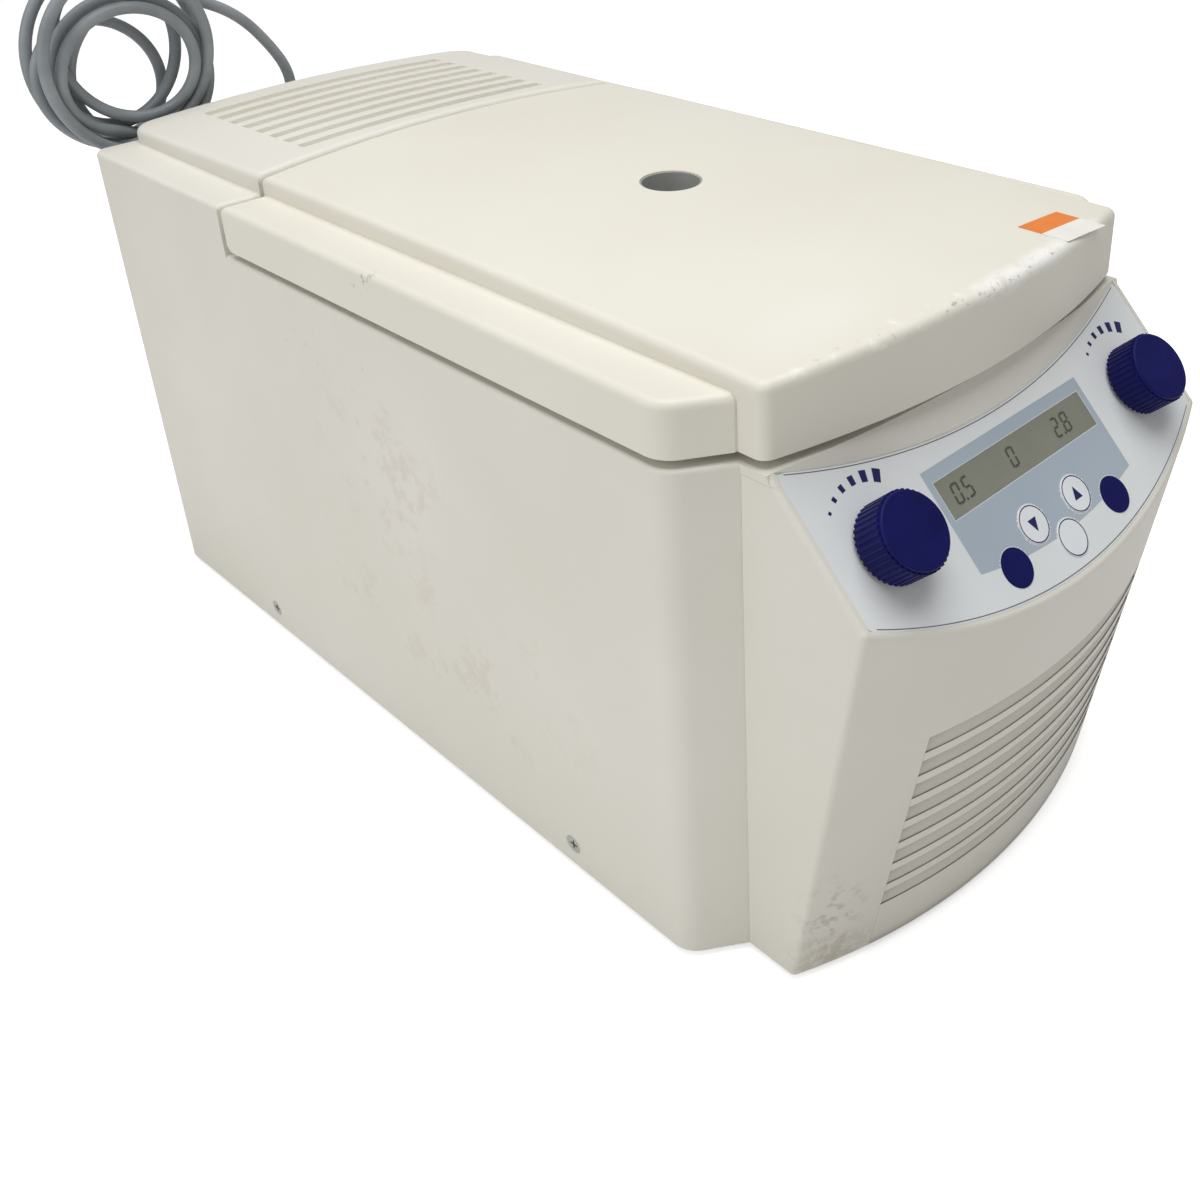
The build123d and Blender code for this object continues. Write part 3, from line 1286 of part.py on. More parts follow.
with BuildPart() as fan_frame:
    with BuildSketch(Plane.XZ.offset(-FAN_FRONT_Y)) as outline:
        with Locations((0, FAN_Z)):
            Rectangle(FAN_FRAME_W, FAN_FRAME_W)
        fillet(outline.vertices(), 5)
        with Locations((0, FAN_Z)):
            Circle(FAN_BORE_R, mode=Mode.SUBTRACT)
    extrude(amount=-FAN_FRAME_T)
    with BuildSketch(Plane.XZ.offset(-FAN_FRONT_Y)):
        with Locations((0, FAN_Z)):
            Circle(FAN_HUB_R)
            Rectangle(2 * FAN_BORE_R + 2, 5)
            Rectangle(5, 2 * FAN_BORE_R + 2)
    extrude(amount=-3)
    with BuildSketch(Plane.XZ.offset(-FAN_FRONT_Y)):
        with Locations((0, FAN_Z)):
            Circle(FAN_PIN_R)
    extrude(amount=-FAN_FRAME_T + 6)
fan_frame.part.label = "fan_frame"
export_step(fan_frame.part, "parts/fan_frame.step")

FAN_HUB_L = FAN_FRAME_T - 7
with BuildPart() as fan_rotor:
    middle = FAN_FRONT_Y + 3 + GAP + FAN_HUB_L / 2
    for blade in range(FAN_BLADES):
        turn = 2 * pi * blade / FAN_BLADES
        out = Vector(cos(turn), 0, sin(turn))
        root = Vector(0, middle, FAN_Z) + out * (FAN_HUB_R - 2)
        across = Vector(-sin(turn), 0, cos(turn)) * cos(radians(FAN_PITCH))
        lead = across + Vector(0, sin(radians(FAN_PITCH)), 0)
        with BuildSketch(Plane(origin=root, x_dir=lead, z_dir=out)):
            SlotOverall(FAN_CHORD, FAN_BLADE_T)
        extrude(amount=FAN_BLADE_R - FAN_HUB_R)
    with BuildSketch(Plane.XZ.offset(-middle)):
        with Locations((0, FAN_Z)):
            Circle(FAN_HUB_R)
    extrude(amount=FAN_HUB_L / 2, both=True)
    with BuildSketch(Plane.XZ.offset(-middle)):
        with Locations((0, FAN_Z)):
            Circle(FAN_PIN_R + FIT)
    extrude(amount=FAN_HUB_L, both=True, mode=Mode.SUBTRACT)
fan_rotor.part.label = "fan_rotor"
export_step(fan_rotor.part, "parts/fan_rotor.step")

SUCTION_X = COMPRESSOR_X + SUCTION_OUT[0]
SUCTION_Y = COMPRESSOR_Y + SUCTION_OUT[1]
DISCHARGE_X = COMPRESSOR_X + DISCHARGE_OUT[0]
DISCHARGE_Y = COMPRESSOR_Y + DISCHARGE_OUT[1]
PIPE_TOP_Z = BASE_TOP_Z + CONDENSER_H + 2 * PIPE_BEND
FOAM_SIDE_Y = AXIS_Y + (FOAM_R**2 - SUCTION_X**2) ** 0.5
with BuildPart() as refrigerant_pipes:
    with BuildLine():
        suction = FilletPolyline(
            (SUCTION_X, SUCTION_Y, COMPRESSOR_TOP_Z),
            (SUCTION_X, SUCTION_Y, PIPE_TOP_Z),
            (SUCTION_X, FOAM_SIDE_Y + PIPE_R, PIPE_TOP_Z),
            radius=PIPE_BEND,
        )
    with BuildSketch(Plane(origin=suction @ 0, z_dir=suction % 0)):
        Circle(PIPE_R)
    sweep(path=suction)
    with BuildLine():
        discharge = FilletPolyline(
            (DISCHARGE_X, DISCHARGE_Y, COMPRESSOR_TOP_Z),
            (DISCHARGE_X, DISCHARGE_Y, PIPE_TOP_Z),
            (DISCHARGE_X, CONDENSER_Y, PIPE_TOP_Z),
            (DISCHARGE_X, CONDENSER_Y, BASE_TOP_Z + CONDENSER_H),
            radius=PIPE_BEND,
        )
    with BuildSketch(Plane(origin=discharge @ 0, z_dir=discharge % 0)):
        Circle(PIPE_R)
    sweep(path=discharge)
refrigerant_pipes.part.label = "refrigerant_pipes"
export_step(refrigerant_pipes.part, "parts/refrigerant_pipes.step")

# Power supply board on its finned cooler
with BuildPart() as heat_sink:
    with BuildSketch(Plane.XY.offset(BASE_TOP_Z)):
        with Locations((POWER_X, POWER_Y)):
            Rectangle(POWER_W, POWER_L)
    extrude(amount=HEAT_SINK_H)
    with BuildSketch(Plane.XZ.offset(-POWER_Y - POWER_L / 2)):
        with Locations((POWER_X, BASE_TOP_Z + HEAT_SINK_H / 2 - 2)):
            with GridLocations(POWER_W / 9, 0, 9, 1):
                Rectangle(POWER_W / 9 - 2.5, HEAT_SINK_H - 4)
    extrude(amount=POWER_L, mode=Mode.SUBTRACT)
heat_sink.part.label = "heat_sink"
export_step(heat_sink.part, "parts/heat_sink.step")

with BuildPart() as power_board:
    with BuildSketch(Plane.XY.offset(BASE_TOP_Z + HEAT_SINK_H)):
        with Locations((POWER_X, POWER_Y)):
            Rectangle(POWER_W, POWER_L)
    extrude(amount=BOARD_T)
    with BuildSketch(Plane.XY.offset(BASE_TOP_Z + HEAT_SINK_H)):
        with Locations((POWER_X - 20, POWER_Y - 25), (POWER_X + 18, POWER_Y - 25)):
            Circle(13)
        with Locations((POWER_X - 4, POWER_Y + 26)):
            Rectangle(46, 38)
    extrude(amount=POWER_PARTS_H)
power_board.part.label = "power_board"
export_step(power_board.part, "parts/power_board.step")

# Hood that turns the outlet air down and carries the mains entry
with BuildPart() as rear_hood:
    band = REAR_Y + REAR_BAND
    with BuildSketch(Plane.XY.offset(HOOD_LOW_Z)) as outline:
        with Locations((0, band)):
            Rectangle(2 * HOOD_HALF, HOOD_REAR_Y - band, align=(Align.CENTER, Align.MIN))
        fillet(at_y(outline, HOOD_REAR_Y), HOOD_CORNER_R)
    extrude(amount=HOOD_TOP_Z - HOOD_LOW_Z)
    top_edges = [e for e in rear_hood.edges().group_by(Axis.Z)[-1] if e.center().Y > band + 1]
    fillet(top_edges, HOOD_T - 0.5)
    with BuildSketch(Plane.XY.offset(HOOD_LOW_Z + HOOD_T)) as outline:
        with Locations((0, band - 1)):
            Rectangle(
                2 * (HOOD_HALF - HOOD_T), HOOD_REAR_Y - HOOD_T - band + 1,
                align=(Align.CENTER, Align.MIN),
            )
        fillet(at_y(outline, HOOD_REAR_Y - HOOD_T), HOOD_CORNER_R - HOOD_T)
    extrude(amount=HOOD_TOP_Z - HOOD_LOW_Z - 2 * HOOD_T, mode=Mode.SUBTRACT)
    with BuildSketch(Plane.XZ.offset(-HOOD_REAR_Y + HOOD_CORNER_R)):
        with Locations((0, FAN_Z)):
            with GridLocations(0, HOOD_LOUVRE_PITCH, 1, HOOD_LOUVRES):
                SlotOverall(2 * HOOD_LOUVRE_HALF, HOOD_LOUVRE_H)
        with Locations((SWITCH_X, SWITCH_Z)):
            Rectangle(SWITCH_W - 3, SWITCH_H - 3)
    extrude(amount=-2 * HOOD_CORNER_R, mode=Mode.SUBTRACT)
    with Locations((RELIEF_X, CORD_Y, HOOD_TOP_Z)):
        Hole(RELIEF_R + SEAT, 2 * HOOD_T)
rear_hood.part.label = "rear_hood"
export_step(rear_hood.part, "parts/rear_hood.step")

SWITCH_FACE_Y = HOOD_REAR_Y + SWITCH_FLANGE_T
ROCKER_AXIS_Y = SWITCH_FACE_Y - ROCKER_SUNK
with BuildPart() as power_switch:
    with BuildSketch(Plane.XZ.offset(-HOOD_REAR_Y)):
        with Locations((SWITCH_X, SWITCH_Z)):
            Rectangle(SWITCH_W, SWITCH_H)
    extrude(amount=-SWITCH_FLANGE_T)
    with BuildSketch(Plane.XZ.offset(-HOOD_REAR_Y)):
        with Locations((SWITCH_X, SWITCH_Z)):
            Rectangle(SWITCH_W - 3 - 2 * SEAT, SWITCH_H - 3 - 2 * SEAT)
    extrude(amount=SWITCH_DEPTH)
    with BuildSketch(Plane.XZ.offset(-SWITCH_FACE_Y)):
        with Locations((SWITCH_X, SWITCH_Z)):
            Rectangle(ROCKER_L + 2 * GAP, ROCKER_W + 4 * GAP)
    extrude(amount=ROCKER_T + 3, mode=Mode.SUBTRACT)
power_switch.part.label = "power_switch"
export_step(power_switch.part, "parts/power_switch.step")

rocker_plane = Plane(
    origin=(SWITCH_X, ROCKER_AXIS_Y, SWITCH_Z),
    x_dir=(1, 0, 0),
    z_dir=(0, cos(radians(ROCKER_HALF_ANGLE)), sin(radians(ROCKER_HALF_ANGLE))),
)
with BuildPart() as power_rocker:
    with BuildSketch(rocker_plane):
        Rectangle(ROCKER_L, ROCKER_W)
    extrude(amount=ROCKER_T / 2, both=True)
    with BuildSketch(Plane.YZ.offset(SWITCH_X)):
        with Locations((ROCKER_AXIS_Y, SWITCH_Z)):
            Circle(ROCKER_PIVOT_R)
    extrude(amount=ROCKER_L / 2, both=True)
power_rocker.part.label = "power_rocker"
export_step(power_rocker.part, "parts/power_rocker.step")

# Mains cord: relief, lead up to the coil, coil, tail down to the plug
with BuildPart() as strain_relief:
    with BuildSketch(Plane.XZ.offset(-CORD_Y)):
        with BuildLine():
            Polyline(
                (RELIEF_X, RELIEF_LOW_Z),
                (RELIEF_X + RELIEF_R + 2.5, RELIEF_LOW_Z),
                (RELIEF_X + RELIEF_R + 2.5, HOOD_TOP_Z - HOOD_T),
                (RELIEF_X + RELIEF_R, HOOD_TOP_Z - HOOD_T),
                (RELIEF_X + RELIEF_R, HOOD_TOP_Z + 2),
                (RELIEF_X + CORD_R + 0.8, RELIEF_TOP_Z),
                (RELIEF_X, RELIEF_TOP_Z),
                close=True,
            )
        make_face()
    revolve(axis=Axis((RELIEF_X, CORD_Y, 0), (0, 0, 1)))
strain_relief.part.label = "strain_relief"
export_step(strain_relief.part, "parts/strain_relief.step")

LEAD_POINTS = [
    (RELIEF_X, CORD_Y, RELIEF_TOP_Z),
    (-1.0, 286.0, 286.5),
    (-2.4, 286.0, 294.0),
    (-5.4, 286.1, 301.6),
    (-12.6, 286.2, 313.2),
    (-23.0, 286.1, 326.6),
    (-35.5, 286.0, 337.0),
    (-49.5, 286.0, 344.0),
]
TAIL_POINTS = [
    (-84.0, 291.4, 267.9),
    (-70.4, 293.8, 267.8),
    (-57.6, 298.8, 267.8),
    (-46.4, 306.6, 267.7),
    (-37.9, 316.8, 265.4),
    (-29.8, 326.2, 259.0),
    (-22.8, 334.6, 248.5),
    (-17.6, 340.6, 235.4),
    (-14.5, 344.0, 220.4),
    (-13.4, 345.3, 202.6),
    (-12.8, 345.6, 172.0),
    (-13.3, 344.9, 132.0),
    (-12.6, 345.7, 92.0),
    (-12.5, 345.2, 66.0),
    (-11.9, 345.0, 49.4),
    (-8.4, 344.8, 35.9),
    (-1.0, 344.0, 24.1),
    (9.8, 342.8, 15.3),
    (22.8, 341.4, 10.5),
    (36.7, 340.0, 9.3),
    (PLUG_X, PLUG_Y, PLUG_H / 2),
]


def cord_radii(points, name):
    """the largest bend that each corner's two runs allow"""
    runs = [Vector(*b) - Vector(*a) for a, b in zip(points, points[1:])]
    radii = []
    for before, after in zip(runs, runs[1:]):
        turn = before.get_angle(after)
        radii.append(CORNER_SHARE * min(before.length, after.length) / tan(radians(turn / 2)))
    print(name, "bend radii", [round(r) for r in radii], "runs", [round(run.length) for run in runs])
    return radii


for name, points in (("cord_lead", LEAD_POINTS), ("cord_tail", TAIL_POINTS)):
    with BuildPart() as cord:
        with BuildLine():
            route = FilletPolyline(*points, radius=cord_radii(points, name))
        with BuildSketch(Plane(origin=route @ 0, z_dir=route % 0)):
            Circle(CORD_R)
        sweep(path=route)
    print(name, "length", round(route.length, 1), "volume over section times length",
          round(cord.part.volume / (pi * CORD_R**2 * route.length), 4))
    cord.part.label = name
    export_step(cord.part, f"parts/{name}.step")

COIL_Z = HOOD_TOP_Z + GAP + COIL_R
with BuildPart() as cord_coil:
    with BuildSketch(Plane.XZ.offset(-CORD_Y)):
        with Locations((COIL_X, COIL_Z)):
            Circle(COIL_R)
            Circle(COIL_R - COIL_BAND, mode=Mode.SUBTRACT)
    extrude(amount=COIL_W / 2, both=True)
    fillet(cord_coil.edges(), CORD_R)
cord_coil.part.label = "cord_coil"
export_step(cord_coil.part, "parts/cord_coil.step")

with BuildPart() as cord_plug:
    with BuildSketch(Plane.YZ.offset(PLUG_X)) as outline:
        with Locations((PLUG_Y, PLUG_H / 2)):
            Rectangle(PLUG_W, PLUG_H)
        fillet(outline.vertices(), 4)
    extrude(amount=PLUG_L)
    fillet(cord_plug.edges().group_by(Axis.X)[0], 3)
cord_plug.part.label = "cord_plug"
export_step(cord_plug.part, "parts/cord_plug.step")

with BuildPart() as plug_pins:
    with BuildSketch(Plane.YZ.offset(PLUG_X + PLUG_L)):
        with Locations((PLUG_Y, PLUG_H / 2)):
            with GridLocations(PLUG_PIN_PITCH, 0, 2, 1):
                Circle(PLUG_PIN_R)
    extrude(amount=PLUG_PIN_L)
plug_pins.part.label = "plug_pins"
export_step(plug_pins.part, "parts/plug_pins.step")
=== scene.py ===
# %% [markdown]
# # A refrigerated microcentrifuge
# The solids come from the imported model, in metres. This script lights them, gives each its finish
# and adds what is too fine for the solids: the loose mains lead, the print on the panel, the
# display's digits, the marks on the keys and a blank paper sticker.

# %% Load the frame
import bpy
import math
from mathutils import Matrix, Vector


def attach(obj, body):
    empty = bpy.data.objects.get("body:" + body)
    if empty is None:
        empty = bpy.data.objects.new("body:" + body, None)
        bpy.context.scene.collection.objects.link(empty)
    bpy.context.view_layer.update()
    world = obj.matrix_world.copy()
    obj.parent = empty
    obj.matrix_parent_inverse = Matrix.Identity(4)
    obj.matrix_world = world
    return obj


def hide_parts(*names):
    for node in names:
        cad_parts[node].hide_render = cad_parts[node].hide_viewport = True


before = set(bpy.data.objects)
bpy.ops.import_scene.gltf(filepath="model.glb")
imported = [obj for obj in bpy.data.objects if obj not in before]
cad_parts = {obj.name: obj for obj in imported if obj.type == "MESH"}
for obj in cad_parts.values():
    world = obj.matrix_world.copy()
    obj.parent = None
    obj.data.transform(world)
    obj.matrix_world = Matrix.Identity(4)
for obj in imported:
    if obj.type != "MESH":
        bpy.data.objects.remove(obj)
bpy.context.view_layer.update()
bpy.ops.object.select_all(action="DESELECT")
scene = bpy.context.scene

# %% [markdown]
# ## Camera
# The photograph was taken close, from the front left and above. A camera was fitted to the corners
# of the housing; the frame of the photograph lies off the lens axis, so the sensor is shifted.

# %% Camera
EYE = Vector((-0.4269, -0.5231, 0.5032))
LOOK = Vector((0.61673, 0.63478, -0.46551))
SIDEWAYS = Vector((0.70564, -0.70792, -0.03047))
FOCAL_PX, FRAME_PX, SENSOR = 1353, 1200, 36.0
AXIS_X_PX, AXIS_Y_PX = 700, 400     # where the lens axis meets the photograph's frame
NEAREST = 0.01
camera = bpy.data.objects.new("camera", bpy.data.cameras.new("camera"))
scene.collection.objects.link(camera)
upward = SIDEWAYS.cross(LOOK)
turn = Matrix((SIDEWAYS, upward, -LOOK)).transposed().to_4x4()
camera.matrix_world = Matrix.Translation(EYE) @ turn
camera.data.sensor_width = SENSOR
camera.data.lens = FOCAL_PX * SENSOR / FRAME_PX
camera.data.shift_x = (FRAME_PX / 2 - AXIS_X_PX) / FRAME_PX
camera.data.shift_y = (AXIS_Y_PX - FRAME_PX / 2) / FRAME_PX
camera.data.clip_start = NEAREST
scene.camera = camera
print("lens", round(camera.data.lens, 1))

# %% [markdown]
# ## Mains lead
# A 7 mm grey lead leaves the hood through its strain relief, rises into loose turns that stand on
# the hood, and hangs down behind to its plug. Each turn has its own middle, size and depth, so the
# turns fan out as a lead that someone has wound by hand.

# %% Route of the lead
LEAD = [
    (-1.0, 286.0, 279.5), (-1.0, 286.0, 286.5), (-2.4, 286.0, 294.0), (-5.4, 286.1, 301.6),
    (-12.6, 286.2, 313.2), (-23.0, 286.1, 326.6), (-35.5, 286.0, 337.0), (-49.5, 286.0, 344.0),
]
TAIL = [
    (-84.0, 291.4, 267.9), (-70.4, 293.8, 267.8), (-57.6, 298.8, 267.8), (-46.4, 306.6, 267.7),
    (-37.9, 316.8, 265.4), (-29.8, 326.2, 259.0), (-22.8, 334.6, 248.5), (-17.6, 340.6, 235.4),
    (-14.5, 344.0, 220.4), (-13.4, 345.3, 202.6), (-12.8, 345.6, 172.0), (-13.3, 344.9, 132.0),
    (-12.6, 345.7, 92.0), (-12.5, 345.2, 66.0), (-11.9, 345.0, 49.4), (-8.4, 344.8, 35.9),
    (-1.0, 344.0, 24.1), (9.8, 342.8, 15.3), (22.8, 341.4, 10.5), (36.7, 340.0, 9.3), (50.0, 338.7, 9.0),
]
# middle x, middle z, radius and depth y of the lead at the start of each turn, in mm
TURNS = [
    (-85.0, 310.5, 46.0, 286.0), (-103.3, 325.4, 52.6, 300.5), (-117.3, 306.2, 37.2, 300.0),
    (-106.3, 324.1, 52.0, 270.8), (-103.5, 310.0, 47.3, 279.8), (-106.9, 333.8, 37.8, 292.1),
    (-101.7, 315.5, 35.6, 271.3), (-120.5, 334.9, 54.4, 286.1),
]
PER_TURN, FIRST_ANGLE, TURN_POINTS = 14, 60.0, 92
winding = []
for step in range(TURN_POINTS + 1):
    turns_done = step / PER_TURN
    index = min(int(turns_done), len(TURNS) - 2)
    share = turns_done - index
    share = share * share * (3 - 2 * share)
    x, z, radius, y = (a + (b - a) * share for a, b in zip(TURNS[index], TURNS[index + 1]))
    angle = math.radians(FIRST_ANGLE + 360 * turns_done)
    winding.append((x + radius * math.cos(angle), y, z + radius * math.sin(angle)))
route = LEAD + winding + TAIL
print("points of the lead", len(route))

# %% The lead as one smooth curve
LEAD_DIAMETER = 0.007
lead_curve = bpy.data.curves.new("mains_lead", "CURVE")
lead_curve.dimensions = "3D"
spline = lead_curve.splines.new("NURBS")
spline.points.add(len(route) - 1)
for point, (x, y, z) in zip(spline.points, route):
    point.co = (x / 1000, y / 1000, z / 1000, 1)
    point.radius = LEAD_DIAMETER / 2
spline.order_u = 3
spline.use_endpoint_u = True
spline.resolution_u = 6
lead_curve.bevel_depth = 1.0     # times each point's radius
lead_curve.bevel_resolution = 4
lead_curve.use_fill_caps = True
mains_lead = bpy.data.objects.new("mains_lead", lead_curve)
scene.collection.objects.link(mains_lead)
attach(mains_lead, "machine")
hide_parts("cord_lead", "cord_coil", "cord_tail")

# %% [markdown]
# ## Floor and light
# The photograph has a plain white ground and broad, soft light from above. The floor is pale and
# matte and keeps the shadow; to the camera alone it also glows, so that it reads as white.

# %% One function for colours and one for nodes
def linear(code):
    """an sRGB hex colour as Blender's linear one"""
    parts = [int(code[i:i + 2], 16) / 255 for i in (1, 3, 5)]
    return [c / 12.92 if c <= 0.04045 else ((c + 0.055) / 1.055) ** 2.4 for c in parts] + [1.0]


def add_node(tree, kind, inputs=(), **settings):
    """a node with its settings; an input is a number, a colour or another node's output"""
    made = tree.nodes.new(kind)
    for name, value in settings.items():
        setattr(made, name, value)
    for name, value in dict(inputs).items():
        if isinstance(value, bpy.types.NodeSocket):
            tree.links.new(value, made.inputs[name])
        else:
            made.inputs[name].default_value = value
    return made


def new_material(name):
    material = bpy.data.materials.new(name)
    material.use_nodes = True
    material.node_tree.nodes.clear()
    return material, material.node_tree


# %% Floor
FLOOR_SIZE, FLOOR_GLOW = 12.0, 0.60
floor_material, tree = new_material("floor_matte_white_paper")
object_place = add_node(tree, "ShaderNodeTexCoord").outputs["Object"]
paper = add_node(tree, "ShaderNodeTexNoise", {
    "Vector": object_place, "Scale": 30.0, "Detail": 3.0,
})
tone = add_node(tree, "ShaderNodeMix", {
    0: paper.outputs["Fac"], 6: linear("#F4F4F2"), 7: linear("#F9F9F8"),
}, data_type="RGBA")
matte = add_node(tree, "ShaderNodeBsdfDiffuse", {"Color": tone.outputs[2]})
glow = add_node(tree, "ShaderNodeEmission", {"Color": linear("#FFFFFF"), "Strength": FLOOR_GLOW})
both = add_node(tree, "ShaderNodeAddShader")
tree.links.new(matte.outputs[0], both.inputs[0])
tree.links.new(glow.outputs[0], both.inputs[1])
ray = add_node(tree, "ShaderNodeLightPath")
seen = add_node(tree, "ShaderNodeMixShader", {"Fac": ray.outputs["Is Camera Ray"]})
tree.links.new(matte.outputs[0], seen.inputs[1])
tree.links.new(both.outputs[0], seen.inputs[2])
add_node(tree, "ShaderNodeOutputMaterial", {"Surface": seen.outputs[0]})
bpy.ops.mesh.primitive_plane_add(size=FLOOR_SIZE, location=(0, 0, 0))
floor = bpy.context.object
floor.name = "floor"
floor.data.materials.append(floor_material)

# %% World and lamps
ROOM_LIGHT = 0.30     # what the room gives back; the camera itself sees plain white behind the floor
world = bpy.data.worlds.new("studio")
scene.world = world
world.use_nodes = True
tree = world.node_tree
tree.nodes.clear()
room = add_node(tree, "ShaderNodeBackground", {"Color": linear("#F5F4F1"), "Strength": ROOM_LIGHT})
white = add_node(tree, "ShaderNodeBackground", {"Color": linear("#FFFFFF"), "Strength": 1.0})
ray = add_node(tree, "ShaderNodeLightPath")
mixed = add_node(tree, "ShaderNodeMixShader", {"Fac": ray.outputs["Is Camera Ray"]})
tree.links.new(room.outputs[0], mixed.inputs[1])
tree.links.new(white.outputs[0], mixed.inputs[2])
add_node(tree, "ShaderNodeOutputWorld", {"Surface": mixed.outputs[0]})


def area_lamp(name, place, target, size, power):
    """a soft square lamp that faces a point"""
    lamp = bpy.data.lights.new(name, "AREA")
    lamp.size = size
    lamp.energy = power
    holder = bpy.data.objects.new(name, lamp)
    scene.collection.objects.link(holder)
    holder.location = place
    holder.rotation_euler = (Vector(target) - Vector(place)).to_track_quat("-Z", "Y").to_euler()


# the light comes from above and from the left; the front stands in shade
area_lamp("ceiling", (0.0, -0.1, 2.2), (0, 0, 0.2), 1.8, 36.0)
area_lamp("window", (-2.0, 0.1, 1.0), (0, 0, 0.15), 1.6, 11.0)
scene.view_settings.view_transform = "Standard"

# %% [markdown]
# ## Finishes
# Almost every finish is the same three things at different sizes: a slow change of tone over some
# centimetres, a fine grain that catches the light, and a roughness that follows the grain. One
# function makes them from sizes in millimetres; the marks of long use, and on the grille a painted
# shade in its hollows, are laid over it after.

# %% A finish from real sizes
DRIFT_LOW, DRIFT_HIGH = 0.3, 0.7     # the part of the noise over which the tone drifts
GLOSS_SPREAD, GRAIN_STRENGTH = 0.06, 0.6
SOFT_FROM, SOFT_TO = 1.0, 0.35       # marks fade in from the ellipsoid's skin to this share of it
MARK_EDGE = 0.08                     # width of a mark's edge in the noise
OPEN_SHELTER, CLOSED_SHELTER = 0.85, 0.25


def finish(
    name, light, dark, roughness, metallic=0.0,
    mottle=60.0, grain=1.0, depth=0.02, stretch=(1, 1, 1), shine=0.5,
):
    """a material whose tone drifts between two colours and whose grain is a bump; sizes in mm"""
    material, tree = new_material(name)
    place = add_node(tree, "ShaderNodeTexCoord").outputs["Object"]
    drift = add_node(tree, "ShaderNodeTexNoise", {
        "Vector": place, "Scale": 1000 / mottle, "Detail": 4.0,
    })
    ramp = add_node(tree, "ShaderNodeValToRGB", {"Fac": drift.outputs["Fac"]})
    low, high = ramp.color_ramp.elements
    low.position, high.position = DRIFT_LOW, DRIFT_HIGH
    low.color, high.color = linear(dark), linear(light)
    drawn = add_node(tree, "ShaderNodeMapping", {"Vector": place, "Scale": stretch})
    fine = add_node(tree, "ShaderNodeTexNoise", {
        "Vector": drawn.outputs["Vector"], "Scale": 1000 / grain, "Detail": 2.0,
    })
    gloss = add_node(tree, "ShaderNodeMapRange", {
        "Value": fine.outputs["Fac"],
        "To Min": roughness - GLOSS_SPREAD, "To Max": roughness + GLOSS_SPREAD,
    })
    bump = add_node(tree, "ShaderNodeBump", {
        "Height": fine.outputs["Fac"], "Strength": GRAIN_STRENGTH, "Distance": depth / 1000,
    })
    surface = add_node(tree, "ShaderNodeBsdfPrincipled", {
        "Base Color": ramp.outputs["Color"], "Metallic": metallic,
        "Roughness": gloss.outputs["Result"], "Normal": bump.outputs["Normal"],
        "Specular IOR Level": shine,
    })
    add_node(tree, "ShaderNodeOutputMaterial", {"Surface": surface.outputs["BSDF"]})
    return material


def surface_of(material):
    return next(n for n in material.node_tree.nodes if n.type == "BSDF_PRINCIPLED")


def lay_over(material, amount, colour):
    """one more colour over what the material has, as far as amount says"""
    surface = surface_of(material)
    before = surface.inputs["Base Color"].links[0].from_socket
    mixed = add_node(material.node_tree, "ShaderNodeMix", {
        0: amount, 6: before, 7: linear(colour),
    }, data_type="RGBA")
    material.node_tree.links.new(mixed.outputs[2], surface.inputs["Base Color"])


def add_marks(material, colour, centre, reach, size, share, strength):
    """broken marks of one colour inside a soft-edged ellipsoid: centre and reach in mm"""
    tree = material.node_tree
    place = next(n for n in tree.nodes if n.type == "TEX_COORD").outputs["Object"]
    inside = add_node(tree, "ShaderNodeMapping", {
        "Vector": place, "Location": [-c / r for c, r in zip(centre, reach)],
        "Scale": [1000 / r for r in reach],
    })
    far = add_node(tree, "ShaderNodeVectorMath", {0: inside.outputs["Vector"]}, operation="LENGTH")
    near = add_node(tree, "ShaderNodeMapRange", {
        "Value": far.outputs["Value"], "From Min": SOFT_FROM, "From Max": SOFT_TO,
        "To Min": 0.0, "To Max": 1.0,
    })
    flecks = add_node(tree, "ShaderNodeTexNoise", {
        "Vector": place, "Scale": 1000 / size, "Detail": 8.0, "Roughness": 0.7,
    })
    broken = add_node(tree, "ShaderNodeMapRange", {
        "Value": flecks.outputs["Fac"], "From Min": 1 - share, "From Max": 1 + MARK_EDGE - share,
        "To Min": 0.0, "To Max": strength,
    })
    amount = add_node(tree, "ShaderNodeMath", {
        0: near.outputs[0], 1: broken.outputs[0],
    }, operation="MULTIPLY")
    lay_over(material, amount.outputs[0], colour)


def add_painted_hollow_shade(material, colour, reach, strength):
    """painted shade: a darker colour laid where a surface is closed in within reach mm"""
    tree = material.node_tree
    shelter = add_node(tree, "ShaderNodeAmbientOcclusion", {"Distance": reach / 1000})
    amount = add_node(tree, "ShaderNodeMapRange", {
        "Value": shelter.outputs["AO"], "From Min": OPEN_SHELTER, "From Max": CLOSED_SHELTER,
        "To Min": 0.0, "To Max": strength,
    })
    lay_over(material, amount.outputs[0], colour)


# %% [markdown]
# ## The mouldings
# The housing is moulded ABS with a fine spark-eroded grain, off-white and slightly cool. The lid has
# yellowed more. Long use left pink and brown smears on the left side, grime at the foot of the
# fascia and whitened, chipped marks along the lid's front edge.

# %% Moulded ABS of the housing and the lid
GRAIN_MM = 0.9   # the real grain is near 0.3 mm and wouldn't show
housing_abs = finish(
    "housing_moulded_abs", "#E6E4DB", "#E0DDD3", 0.46, mottle=140, grain=GRAIN_MM, depth=0.05,
)
add_marks(housing_abs, "#CDB3AA", (-145, -10, 175), (12, 70, 60), 26, 0.47, 0.30)
add_marks(housing_abs, "#AE9C8E", (-145, 20, 225), (12, 60, 26), 6, 0.40, 0.5)
add_marks(housing_abs, "#CBB7A9", (-145, -40, 90), (12, 160, 70), 34, 0.44, 0.25)
add_marks(housing_abs, "#9C8F84", (-105, -262, 40), (22, 16, 38), 7, 0.50, 0.45)
add_marks(housing_abs, "#B3A79A", (-100, -258, 12), (30, 18, 18), 5, 0.55, 0.45)
